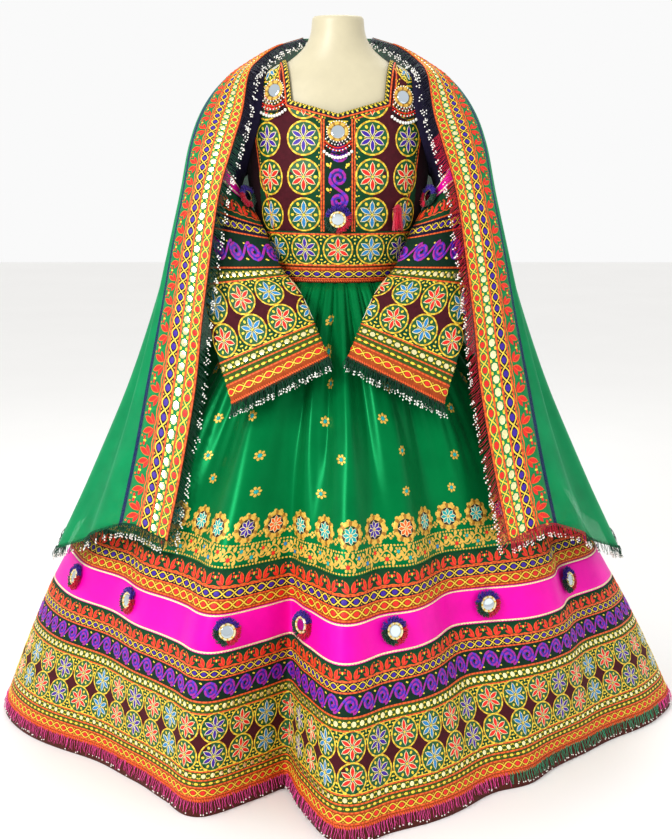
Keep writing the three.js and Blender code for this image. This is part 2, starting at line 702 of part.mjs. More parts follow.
// A point of the shawl: line runs from 0 at the beaded edge on the right, through 4 behind, to 8 on the left
function shawlPoint(line, down) {
  const side = line < 4 ? 1 : -1;
  const near = line < 4 ? line : 8 - line;
  const [x, y, z] = [0, 1, 2].map((axis) => {
    const mirroredBack = (i) => (i > 4 ? (axis === 0 ? -1 : 1) * shawlTracks[8 - i][axis](down) : shawlTracks[i][axis](down));
    const rows = steps(6, 0, 6).map((i) => ({ line: i, value: i > 4 ? mirroredBack(i) : shawlTracks[i][axis](down) }));
    return track(rows, "line", "value")(near);
  });
  const loose = smooth(1, 1.5, near) * smooth(0.2, 1, down);
  const wave = 0.5 - 0.5 * Math.cos((near - 1) * (shawlFolds / 3) * 2 * Math.PI);
  const out = vector(x, y - 20, 0).normalize().multiplyScalar(shawlFoldDeep * loose * wave);
  return vector(-side * (x + out.x), y + out.y, z);
}

const shawlRows = [1, 0.88, 0.75, 0.62, 0.5, 0.38, 0.26, 0.13, 0];
const bandLines = [0, 0.06, 0.5, 1];
const sideLines = steps(8, 1, shawlSideLine).slice(1);
const backLines = steps(20, shawlSideLine, 8 - shawlSideLine).slice(1, -1);
const shawlColumns = [...bandLines, ...sideLines, ...backLines, ...[...bandLines, ...sideLines].map((l) => 8 - l).reverse()];

// A piece of the shawl's cloth, cut from the whole so that neighbours meet along the same line
function shawlPiece(first, last, { lift = 0, thick, seams = [] }) {
  const faces = [lift, lift + thick].map((d) =>
    movedOut(wholeShawl, d, shawlNormals).map((row) => row.slice(first, last + 1)),
  );
  for (const face of faces)
    for (const row of face)
      for (const end of seams) {
        const [edge, inner] = end === "first" ? [row[0], row[1]] : [row.at(-1), row.at(-2)];
        edge.addScaledVector(inner.clone().sub(edge).normalize(), seam);
      }
  return wallBetween(...faces);
}

const wholeShawl = shawlRows.map((down) => shawlColumns.map((line) => shawlPoint(line, down)));
const shawlNormals = normalsOf(wholeShawl);

function makeShawl() {
  const end = shawlColumns.length - 1;
  const side = bandLines.length + sideLines.length - 1;
  const cut = { thick: shawlCloth };
  add("shawl_right", shawlPiece(0, side, { ...cut, seams: ["last"] }), materials.chiffon);
  add("shawl_back", shawlPiece(side, end - side, { ...cut, seams: ["first", "last"] }), materials.chiffon);
  add("shawl_left", shawlPiece(end - side, end, { ...cut, seams: ["first"] }), materials.chiffon);
  const band = { lift: shawlCloth + seam, thick: trimCloth };
  add("shawl_band_right", shawlPiece(0, bandLines.length - 1, band), materials.orange);
  add("shawl_band_left", shawlPiece(end - bandLines.length + 1, end, band), materials.orange);
}

// Ornaments
function ringsAlong(profile, middle, way, sides) {
  const across = way.clone().cross(Math.abs(way.z) > 0.9 ? vector(0, 1, 0) : vector(0, 0, 1)).normalize();
  const up = way.clone().cross(across);
  return profile.map(({ radius, height }) =>
    steps(sides)
      .slice(0, sides)
      .map((turn) => {
        const angle = turn * 2 * Math.PI;
        const p = middle.clone().addScaledVector(way, height).addScaledVector(across, radius * Math.cos(angle));
        return p.addScaledVector(up, radius * Math.sin(angle));
      }),
  );
}

const ornamentSides = 9;

// Where rays straight against way meet the cloth, over a round piece with these rings that lies at a place
function footprint(names, at, way, profile) {
  const cloths = names.map((name) => dress.getObjectByName(name));
  const far = 80;
  const rings = [...profile.slice(0, 2), { radius: profile[0].radius / 2, height: 0 }, { radius: 0, height: 0 }];
  return ringsAlong(rings, at.clone().addScaledVector(way, far), way, 12).flatMap((ring) =>
    ring.flatMap((from) => {
      const [hit] = new THREE.Raycaster(from, way.clone().negate()).intersectObjects(cloths);
      return hit ? [{ height: far - hit.distance, normal: hit.face.normal }] : [];
    }),
  );
}

// A round piece that lies on the cloth: it faces the way the cloth faces there, and clears its highest place
function settled(names, at, toward, profile, clear) {
  const way = toward.clone();
  for (const { normal } of footprint(names, at, toward, profile)) way.addScaledVector(normal, 0.1);
  way.normalize();
  const height = Math.max(...footprint(names, at, way, profile).map((found) => found.height));
  return ringsAlong(profile, at.clone().addScaledVector(way, height + clear), way, ornamentSides);
}

function makeOrnaments() {
  const clear = 0.5;
  pompomAngles.forEach((angle, i) => {
    const at = skirtPoint(angle, stripeMiddle);
    const turn = radians(angle);
    const way = vector(Math.sin(turn), -Math.cos(turn), 0.1).normalize();
    const rings = settled(["skirt_stripe"], at, way, pompom, clear);
    add("pompom_" + String(i + 1).padStart(2, "0"), loft(rings), materials.wool);
  });
  const front = ["bodice_front", "neck_trim", "front_placket", "sleeve_head_left", "sleeve_head_right"];
  const onFront = (profile, { x, z }) => {
    const at = skinPoint(x, z, -1);
    return loft(settled(front, at, skinNormal(at).setZ(0).normalize(), profile, clear));
  };
  for (const place of dropPlaces) add("mirror_drop_" + place.side, onFront(drop, place), materials.mirror);
  add("pompom_front", onFront(pompom, frontPompomAt), materials.wool);
  const hang = skinPoint(tasselAt.x, tasselAt.z, -1).add(vector(4, -12, 0));
  add("tassel", loft(ringsAlong(tassel, hang, vector(0, 0, -1), 8)), materials.magenta);
  const { out, wide, deep, middle } = sleeveFrame(sleevePompomAt.along);
  const turn = radians(sleevePompomAt.turn);
  const at = middle.clone().addScaledVector(out, wide * Math.cos(turn));
  at.addScaledVector(deep, sleeveThick(sleevePompomAt.along) * Math.sin(turn));
  const toward = out.clone().multiplyScalar(Math.cos(turn)).addScaledVector(deep, Math.sin(turn));
  toward.add(vector(0, -0.8, 0)).normalize();
  const small = pompom.map((row) => ({ ...row, radius: row.radius * 0.8 }));
  const sleeve = ["sleeve_head_left", "sleeve_stripe_left", "sleeve_forearm_left", "sleeve_cuff_left"];
  const rings = settled(sleeve, at, toward, small, clear);
  add("pompom_sleeve_left", loft(rings), materials.wool);
  add("pompom_sleeve_right", loft(mirrored(rings)), materials.wool);
}

// Fringes
const pointAt = (row, c) => row[Math.floor(c) % row.length].clone().lerp(row[Math.ceil(c) % row.length], c % 1);
const rowBetween = (a, b, t) => a.map((p, i) => p.clone().lerp(b[i], t));

// A strip of cloth between two faces, with strands that hang from it. lines are the strip's long edges
function fringeOf(inside, outside, { count, off, closed = false, upright = false, hangAt }) {
  const shapes = [wallBetween(inside, outside, closed)];
  const edges = [...inside, ...outside];
  const lines = upright ? [inside, outside].flatMap((face) => [0, 1].map((c) => face.map((row) => row[c]))) : edges;
  const spans = lines[0].length - (closed ? 0 : 1);
  for (let k = 0; k < count; k++) {
    const c = ((k + 0.5) / count) * spans;
    const places = lines.map((line) => pointAt(line, c));
    const root = places.reduce((sum, p) => sum.add(p), vector(0, 0, 0)).divideScalar(lines.length);
    const out = places.at(-1).clone().sub(places[1]).normalize();
    const way = hangAt(c, root).clone();
    way.addScaledVector(out, Math.max(0, off - way.dot(out)));
    const profile = [0, way.length()].map((height) => ({ radius: strand, height }));
    shapes.push(loft(ringsAlong(profile, root, way.normalize(), 3)));
  }
  return fused(shapes);
}

function makeHemFringe() {
  const rows = skirtGrid([0, hemFold], borderSides);
  const normals = normalsOf(rows, { closed: true, axis: level });
  const at = (z, distance) => rowBetween(...movedOut(rows, distance, normals), z / hemFold);
  const start = skirtCloth + seam + 0.2;
  const face = (distance) => [at(hemStrands.from, distance), at(hemStrands.to, distance)];
  const tips = at(hemStrands.tip, start + strip / 2 + 0.3);
  const hangAt = (c, root) => pointAt(tips, c).sub(root);
  const shape = fringeOf(face(start), face(start + strip), { ...hemStrands, closed: true, hangAt });
  add("fringe_hem", shape, materials.fringe);
}

function makeCuffFringes() {
  const places = cuffPlaces.slice(-2);
  const rings = places.map(sleeveRing);
  const normals = normalsOf(rings, { closed: true, axis: (r) => sleeveFrame(places[r]).axis });
  const face = (distance) =>
    [cuffStrands.from, cuffStrands.to].map((t) => rowBetween(...movedOut(rings, distance, normals), t));
  const start = cloth + seam + 0.2;
  const hang = vector(0.2, -0.7, -0.68).setLength(cuffStrands.long);
  const cut = { ...cuffStrands, closed: true, hangAt: () => hang };
  add("fringe_cuff_left", fringeOf(face(start), face(start + strip), cut), materials.fringe);
  const hangRight = () => vector(-hang.x, hang.y, hang.z);
  const right = [start, start + strip].map((distance) => mirrored(face(distance)));
  add("fringe_cuff_right", fringeOf(...right, { ...cut, hangAt: hangRight }), materials.fringe);
}

function makeShawlFringes() {
  const last = shawlColumns.length - 1;
  const onBand = shawlCloth + seam + trimCloth + seam;
  const moved = (distance) => movedOut(wholeShawl, distance, shawlNormals);
  const edges = [
    { name: "fringe_shawl_right", from: 0, inward: -1 },
    { name: "fringe_shawl_left", from: last - 1, inward: 1 },
  ];
  for (const { name, from, inward } of edges) {
    const face = (distance) =>
      moved(distance)
        .slice(0, edgeStrands.rows)
        .map((row) => row.slice(from, from + 2));
    const hang = vector(0.5 * inward, -0.15, -0.85).setLength(edgeStrands.long);
    const cut = { ...edgeStrands, upright: true, hangAt: () => hang };
    add(name, fringeOf(face(onBand), face(onBand + strip), cut), materials.fringe);
  }
  const first = bandLines.length;
  const face = (distance) => {
    const rows = moved(distance).map((row) => row.slice(first, last - first + 1));
    return [0.03, 0.08].map((share) => rowBetween(rows[0], rows[1], share));
  };
  const hangAt = (c, root) => {
    const out = vector(root.x, root.y, 0).normalize().multiplyScalar(0.35);
    return out.add(vector(0, 0, -1)).setLength(shawlHemStrands.long);
  };
  const start = shawlCloth + 2.5 * seam;
  const shape = fringeOf(face(start), face(start + strip), { ...shawlHemStrands, hangAt });
  add("fringe_shawl_hem", shape, materials.fringe);
}

makeForm();
makeBodice();
makeSkirt();
makeSleeves();
makeShawl();
makeOrnaments();
makeHemFringe();
makeCuffFringes();
makeShawlFringes();

export default dress;
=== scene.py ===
"""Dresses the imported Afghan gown, shawl and dress form.

Lengths in the tables are millimetres, and the scene is in metres.
"""

from __future__ import annotations

import json
import logging
import math
from collections.abc import Sequence
from dataclasses import dataclass, field
from enum import Enum

import bpy
import numpy as np
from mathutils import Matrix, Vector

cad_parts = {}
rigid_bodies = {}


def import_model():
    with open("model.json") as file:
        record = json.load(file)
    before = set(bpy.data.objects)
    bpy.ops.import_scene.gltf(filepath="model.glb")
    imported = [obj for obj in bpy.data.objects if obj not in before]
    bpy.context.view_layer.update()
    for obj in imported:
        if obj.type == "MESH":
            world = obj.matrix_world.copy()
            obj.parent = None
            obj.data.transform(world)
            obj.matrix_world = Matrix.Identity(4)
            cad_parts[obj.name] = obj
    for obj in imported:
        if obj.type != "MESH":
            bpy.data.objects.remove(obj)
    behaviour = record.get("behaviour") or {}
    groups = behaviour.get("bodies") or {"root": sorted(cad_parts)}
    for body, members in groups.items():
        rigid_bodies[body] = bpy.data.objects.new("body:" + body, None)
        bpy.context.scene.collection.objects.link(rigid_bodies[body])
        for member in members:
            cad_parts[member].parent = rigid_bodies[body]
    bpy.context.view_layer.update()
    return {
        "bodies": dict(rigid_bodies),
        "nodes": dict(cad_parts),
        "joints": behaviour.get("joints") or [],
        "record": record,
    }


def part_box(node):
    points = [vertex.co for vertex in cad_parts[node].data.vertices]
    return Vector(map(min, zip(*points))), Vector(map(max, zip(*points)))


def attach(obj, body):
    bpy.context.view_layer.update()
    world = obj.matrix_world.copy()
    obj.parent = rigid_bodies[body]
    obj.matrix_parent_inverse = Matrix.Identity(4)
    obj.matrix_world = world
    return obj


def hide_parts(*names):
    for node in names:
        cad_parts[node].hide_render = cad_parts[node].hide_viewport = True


LOG = logging.getLogger("dress")
MM = 0.001
BODY = "root"
SEED = 7


class Dye(Enum):
    """Colours of the cloth, as sRGB hex values."""

    FORM = "#c8bfa2"
    SATIN = "#026d3b"
    MAGENTA = "#f40ab0"
    MAROON = "#4d1420"
    FOREST = "#0d4a2c"
    PINE = "#0c3322"
    MOSS = "#3f5a20"
    RUST = "#a34a1f"
    HEM = "#5e2a22"
    NIGHT = "#1c1533"
    WINE = "#2c0d16"
    LEAF = "#1d8a50"
    CHIFFON = "#0a955c"
    NAVY = "#231b62"


class Thread(Enum):
    """Colours of the embroidery threads, wools and beads, as sRGB hex values."""

    YELLOW = "#efd345"
    STRAW = "#cfa22c"
    GOLD = "#e2b650"
    BRONZE = "#a87826"
    ORANGE = "#ee6a26"
    COPPER = "#c84a1c"
    RED = "#e52a1c"
    CRIMSON = "#cf1741"
    PURPLE = "#42219c"
    VIOLET = "#6a2fc0"
    PLUM = "#a8249c"
    BLUE = "#2f86c0"
    TEAL = "#14a7a8"
    GREEN = "#0f5a30"
    BOTTLE = "#0b4a34"
    CREAM = "#f4e6b4"
    WHITE = "#f7f5ee"
    BLACK = "#17131c"
    INDIGO = "#241c78"
    NAVY = "#0e0a2c"
    PINK = "#ff58b2"
    MINT = "#2fb58a"
    SPANGLE = "#fff0b8"


def linear(code: str) -> tuple[float, float, float, float]:
    """Turn an sRGB hex colour into linear red, green, blue and alpha.

    Args:
        code: The colour, such as "#0a7d44".

    Returns:
        The four linear values.
    """
    parts = [int(code[i : i + 2], 16) / 255 for i in (1, 3, 5)]
    low = [part / 12.92 if part <= 0.04045 else ((part + 0.055) / 1.055) ** 2.4 for part in parts]
    return (*low, 1.0)


def add_node(
    tree: bpy.types.NodeTree, kind: str, settings: dict[str | int, object] | None = None,
    links: dict[str | int, bpy.types.NodeSocket] | None = None,
) -> bpy.types.Node:
    """Add a node with its settings and links.

    Args:
        tree: The tree that the node goes in.
        kind: The node's type.
        settings: Values by property name, or by input name or number.
        links: Output sockets by the name or number of the input that each feeds.

    Returns:
        The new node.
    """
    node = tree.nodes.new(kind)
    for key, value in (settings or {}).items():
        if isinstance(key, int) or (not hasattr(node, key) and key in node.inputs):
            node.inputs[key].default_value = value
        else:
            setattr(node, key, value)
    for key, socket in (links or {}).items():
        tree.links.new(socket, node.inputs[key])
    return node


class Weave(Enum):
    """What gives a surface its fine relief."""

    NONE = 0
    PLAIN = 1
    TWILL = 2
    STITCH = 3


@dataclass(frozen=True)
class Finish:
    """A finish: its colour or the attribute that holds it, its gloss and its fine relief.

    The tint colours both the sheen and the highlight. Spacing and patch are the sizes of the fine relief and
    of the uneven colour, in millimetres.
    """

    name: str
    colour: str = "#808080"
    dyed: str = ""
    rough: float = 0.7
    metal: float = 0.0
    sheen: float = 0.0
    tint: str = "#ffffff"
    specular: float = 0.5
    weave: Weave = Weave.PLAIN
    spacing: float = 1.6
    relief: float = 0.3
    uneven: float = 0.12
    patch: float = 45.0
    solid: float = 1.0

    def material(self) -> bpy.types.Material:
        """Build the material once, and return it again after that.

        Returns:
            The material.
        """
        found = bpy.data.materials.get(self.name)
        if found:
            return found
        material = bpy.data.materials.new(self.name)
        material.use_nodes = True
        tree = material.node_tree
        tree.nodes.clear()
        place = add_node(tree, "ShaderNodeTexCoord").outputs["Object"]
        mottle = add_node(
            tree, "ShaderNodeTexNoise",
            {"Scale": 1 / (self.patch * MM), "Detail": 4.0, "Roughness": 0.6}, {"Vector": place},
        )
        shade = add_node(
            tree, "ShaderNodeMapRange",
            {"From Min": 0.3, "From Max": 0.7, "To Min": 1 - self.uneven, "To Max": 1 + self.uneven},
            {"Value": mottle.outputs["Fac"]},
        )
        if self.dyed:
            base = add_node(tree, "ShaderNodeAttribute", {"attribute_name": self.dyed}).outputs["Color"]
        else:
            rgb = add_node(tree, "ShaderNodeRGB")
            rgb.outputs[0].default_value = linear(self.colour)
            base = rgb.outputs[0]
        shaded = add_node(
            tree, "ShaderNodeVectorMath", {"operation": "SCALE"},
            {0: base, "Scale": shade.outputs["Result"]},
        )
        links = {"Base Color": shaded.outputs["Vector"]}
        height = self.height(tree, place)
        if height:
            bump = add_node(
                tree, "ShaderNodeBump", {"Strength": min(1.0, self.relief), "Distance": 0.6 * MM},
                {"Height": height},
            )
            links["Normal"] = bump.outputs["Normal"]
        settings = {
            "Roughness": self.rough,
            "Metallic": self.metal,
            "Sheen Weight": self.sheen,
            "Sheen Tint": linear(self.tint),
            "Sheen Roughness": 0.4,
            "Specular IOR Level": self.specular,
            "Specular Tint": linear(self.tint),
            "Alpha": self.solid,
        }
        if self.dyed == "Thread":
            shine = add_node(tree, "ShaderNodeAttribute", {"attribute_name": "Shine"}).outputs["Fac"]
            gloss = add_node(
                tree, "ShaderNodeMapRange", {"To Min": self.rough, "To Max": 0.18}, {"Value": shine},
            )
            metal = add_node(tree, "ShaderNodeMapRange", {"To Min": 0.0, "To Max": 0.85}, {"Value": shine})
            links |= {"Roughness": gloss.outputs["Result"], "Metallic": metal.outputs["Result"]}
        surface = add_node(tree, "ShaderNodeBsdfPrincipled", settings, links)
        output = add_node(tree, "ShaderNodeOutputMaterial", {}, {"Surface": surface.outputs["BSDF"]})
        output.is_active_output = True
        return material

    def height(self, tree: bpy.types.NodeTree, place: bpy.types.NodeSocket) -> bpy.types.NodeSocket | None:
        """Build the fine relief.

        Args:
            tree: The material's tree.
            place: The Object coordinates.

        Returns:
            The socket that gives the height, or None for a plain surface.
        """
        if self.weave is Weave.NONE:
            return None
        scale = 1 / (self.spacing * MM)
        if self.weave is Weave.STITCH:
            noise = add_node(tree, "ShaderNodeTexNoise", {"Scale": scale, "Detail": 3.0}, {"Vector": place})
            return noise.outputs["Fac"]
        flat = add_node(tree, "ShaderNodeUVMap", {"uv_map": "Flat"}).outputs["UV"]
        turns = (0.0, 90.0) if self.weave is Weave.PLAIN else (35.0, 35.0)
        waves = []
        for turn in turns:
            turned = add_node(
                tree, "ShaderNodeMapping",
                {"Rotation": (0.0, 0.0, math.radians(turn)), "Scale": (scale, scale, scale)},
                {"Vector": flat},
            )
            wave = add_node(
                tree, "ShaderNodeTexWave", {"Scale": 0.32, "Distortion": 0.6},
                {"Vector": turned.outputs["Vector"]},
            )
            waves.append(wave.outputs["Fac"])
        crossed = add_node(tree, "ShaderNodeMath", {"operation": "MAXIMUM"}, {0: waves[0], 1: waves[1]})
        return crossed.outputs[0]


# The threads of these cloths lie 0.1 to 0.5 mm apart, too fine to show in the render. Each spacing is drawn
# as coarse as it needs to show, at 0.8 to 1.6 mm.

# Smooth moulded plastic with a fabric cover: a soft, wide highlight
FORM_SKIN = Finish(
    "cream_jersey", Dye.FORM.value, rough=0.42, sheen=0.15, weave=Weave.STITCH, spacing=1.2, relief=0.06,
    uneven=0.04,
)
# Brushed steel: grey metal with a broken highlight
STEEL = Finish(
    "brushed_steel", "#b4b6b8", rough=0.34, metal=1.0, weave=Weave.STITCH, spacing=0.8, relief=0.05,
    uneven=0.05,
)
# Polyester satin: long floats give a bright, smooth highlight along each fold
SATIN = Finish(
    "green_satin", Dye.SATIN.value, rough=0.32, sheen=0.03, tint="#4dffa6", weave=Weave.TWILL, spacing=1.4,
    relief=0.05, uneven=0.1, patch=70.0,
)
# Taffeta: plain weave with a dull shine
TAFFETA = Finish(
    "magenta_taffeta", Dye.MAGENTA.value, rough=0.45, sheen=0.1, tint="#ff9be0", spacing=1.3, relief=0.08,
    uneven=0.08, patch=60.0,
)
# Cotton in the dye of each row: matt, with a visible weave
COTTON = Finish(
    "dyed_cotton", dyed="Dye", rough=0.8, sheen=0.06, specular=0.3, spacing=1.6, relief=0.35, uneven=0.2,
    patch=12.0,
)
# Rayon embroidery thread: satin stitches catch the light in small flecks
EMBROIDERY = Finish(
    "rayon_embroidery", dyed="Thread", rough=0.5, sheen=0.06, weave=Weave.STITCH, spacing=1.1, relief=0.5,
    uneven=0.22, patch=3.5,
)
# Sheer crepe chiffon: thin, matt, lets light through
CHIFFON = Finish(
    "sheer_chiffon", dyed="Dye", rough=0.6, sheen=0.35, tint="#a6ffd6", spacing=1.2, relief=0.2,
    uneven=0.12, patch=60.0, solid=0.7,
)
# Cut wool: rough, soft edge light
WOOL = Finish(
    "cut_wool", dyed="Thread", rough=0.9, sheen=0.4, weave=Weave.STITCH, spacing=0.9, relief=0.4,
    uneven=0.25, patch=4.0,
)
# Silvered glass: a clear, cool reflection
GLASS = Finish("silvered_glass", "#c9d3da", rough=0.06, metal=1.0, weave=Weave.NONE, uneven=0.03)


class Track:
    """A smooth curve through a table of values."""

    def __init__(self, places: Sequence[float], values: Sequence[float]) -> None:
        """Keep the table, with the slope at each row from its neighbours."""
        self.places = np.asarray(places, float)
        self.values = np.asarray(values, float)
        index = np.arange(len(self.places))
        after = np.minimum(index + 1, index[-1])
        before = np.maximum(index - 1, 0)
        self.slopes = (self.values[after] - self.values[before]) / (
            self.places[after] - self.places[before]
        )

    def __call__(self, at: np.ndarray | float) -> np.ndarray:
        """Read the curve.

        Args:
            at: Where to read it, clamped to the table's ends.

        Returns:
            The values there.
        """
        at = np.clip(at, self.places[0], self.places[-1])
        i = np.clip(np.searchsorted(self.places, at, side="right") - 1, 0, len(self.places) - 2)
        length = self.places[i + 1] - self.places[i]
        t = (at - self.places[i]) / length
        line = self.values[i] * (1 + 2 * t) * (1 - t) ** 2 + self.values[i + 1] * t * t * (3 - 2 * t)
        return line + length * (self.slopes[i] * t * (1 - t) ** 2 - self.slopes[i + 1] * t * t * (1 - t))


def tracks(rows: Sequence[Sequence[float]]) -> list[Track]:
    """Make a curve of each column of a table against its first column."""
    columns = list(zip(*rows))
    return [Track(columns[0], column) for column in columns[1:]]


def smooth(start: float, end: float, at: np.ndarray | float) -> np.ndarray:
    """Rise smoothly from 0 at start to 1 at end."""
    t = np.clip((np.asarray(at, float) - start) / (end - start), 0, 1)
    return t * t * (3 - 2 * t)


def unit(vectors: np.ndarray) -> np.ndarray:
    """Scale vectors to length 1."""
    return vectors / np.maximum(np.linalg.norm(vectors, axis=-1, keepdims=True), 1e-12)


def between(marks: Sequence[float], step: float) -> np.ndarray:
    """List places no further apart than step, with every mark among them."""
    parts = [np.linspace(a, b, max(2, math.ceil((b - a) / step) + 1)) for a, b in zip(marks, marks[1:])]
    return np.unique(np.round(np.concatenate(parts), 4))


def distances(line: np.ndarray) -> np.ndarray:
    """Return how far each point of a line lies from its start, along the line."""
    return np.concatenate([[0], np.cumsum(np.linalg.norm(np.diff(line, axis=0), axis=1))])


def grid(across: np.ndarray, up: np.ndarray) -> np.ndarray:
    """Return the flat places of a sheet with its columns at across and its rows at up."""
    up = up.reshape(-1, 1)
    return np.stack([across + 0 * up, up + 0 * across], -1)


@dataclass
class Cloth:
    """A sheet of cloth as a grid of points, in millimetres. Rows run up and columns run round."""

    points: np.ndarray
    flat: np.ndarray
    closed: bool = False
    out: np.ndarray = field(init=False)

    def __post_init__(self) -> None:
        """Work out which way the cloth faces at each point."""
        up = np.gradient(self.points, axis=0)
        if self.closed:
            ring = self.points[:, :-1]
            across = np.roll(ring, -1, axis=1) - np.roll(ring, 1, axis=1)
            across = np.concatenate([across, across[:, :1]], axis=1)
        else:
            across = np.gradient(self.points, axis=1)
        self.out = unit(np.cross(across, up))

    def lifted(self, distance: float) -> Cloth:
        """Return the cloth moved out along the way it faces."""
        return Cloth(self.points + self.out * distance, self.flat, self.closed)

    def cut(self, rows: slice, columns: slice) -> Cloth:
        """Return a part of the cloth that keeps its place on the flat."""
        return Cloth(self.points[rows, columns], self.flat[rows, columns], False)

    def made(
        self, name: str, finish: Finish, dyes: Sequence[tuple[float, Dye]] = (), axis: int = 1
    ) -> bpy.types.Object:
        """Build the cloth's face as a mesh.

        Args:
            name: The piece's name.
            finish: Its finish.
            dyes: The end of each dyed row in millimetres on the flat, in order, with its colour.
            axis: Which flat coordinate the dyed rows follow.

        Returns:
            The object, with the UV map Flat and the attributes Outward and Dye.
        """
        rows, columns = self.points.shape[:2]
        around = columns - 1 if self.closed else columns
        r, c = np.meshgrid(np.arange(rows - 1), np.arange(columns - 1), indexing="ij")
        corners = [(0, 0), (0, 1), (1, 1), (1, 0)]
        faces = np.stack([(r + i) * around + (c + j) % around for i, j in corners], -1).reshape(-1, 4)
        flat = np.stack([self.flat[r + i, c + j] for i, j in corners], 2).reshape(-1, 4, 2) * MM
        mesh = bpy.data.meshes.new(name)
        mesh.from_pydata((self.points[:, :around] * MM).reshape(-1, 3).tolist(), [], faces.tolist())
        mesh.uv_layers.new(name="Flat").data.foreach_set("uv", flat.ravel())
        outward = mesh.attributes.new("Outward", "FLOAT_VECTOR", "POINT")
        outward.data.foreach_set("vector", self.out[:, :around].ravel())
        if dyes:
            ends = np.array([end for end, _ in dyes]) * MM
            colours = np.array([linear(dye.value) for _, dye in dyes])
            index = np.minimum(np.searchsorted(ends, flat[:, :, axis].mean(axis=1)), len(dyes) - 1)
            attribute = mesh.attributes.new("Dye", "FLOAT_COLOR", "CORNER")
            attribute.data.foreach_set("color", np.repeat(colours[index], 4, axis=0).ravel())
        return placed(name, mesh, finish)


def placed(name: str, mesh: bpy.types.Mesh, finish: Finish) -> bpy.types.Object:
    """Put a mesh in the scene as a smooth piece with a finish.

    Args:
        name: The piece's name.
        mesh: Its mesh.
        finish: Its finish.

    Returns:
        The new object.
    """
    piece = bpy.data.objects.new(name, mesh)
    bpy.context.scene.collection.objects.link(piece)
    mesh.polygons.foreach_set("use_smooth", [True] * len(mesh.polygons))
    mesh.materials.append(finish.material())
    return piece


def thicken(piece: bpy.types.Object, thick: float) -> None:
    """Give a cloth its thickness in millimetres, behind its face.

    Args:
        piece: The cloth's face.
        thick: How thick it is.
    """
    solid = piece.modifiers.new("Thickness", "SOLIDIFY")
    solid.thickness = thick * MM
    solid.offset = -1.0


def worn(piece: bpy.types.Object, slot: str, *nodes: str) -> bpy.types.Object:
    """Fix a piece to the part, and hide the CAD nodes that it stands for.

    Args:
        piece: The piece.
        slot: The record's material slot; not used.
        nodes: The CAD nodes that it replaces.

    Returns:
        The piece.
    """
    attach(piece, BODY)
    if nodes:
        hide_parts(*nodes)
    LOG.info("%s: %d faces", piece.name, len(piece.data.polygons))
    return piece


def sewn(piece: bpy.types.Object, thick: float, slot: str, nodes: Sequence[str], **sheet: object) -> None:
    """Args:
        piece: The cloth's face.
        thick: How thick it is, in millimetres.
        slot: The record's material slot.
        nodes: The CAD nodes that it replaces.
        sheet: Its flat size, how it is held and what it rests on; not used.
    """
    thicken(piece, thick)
    worn(piece, slot, *nodes)


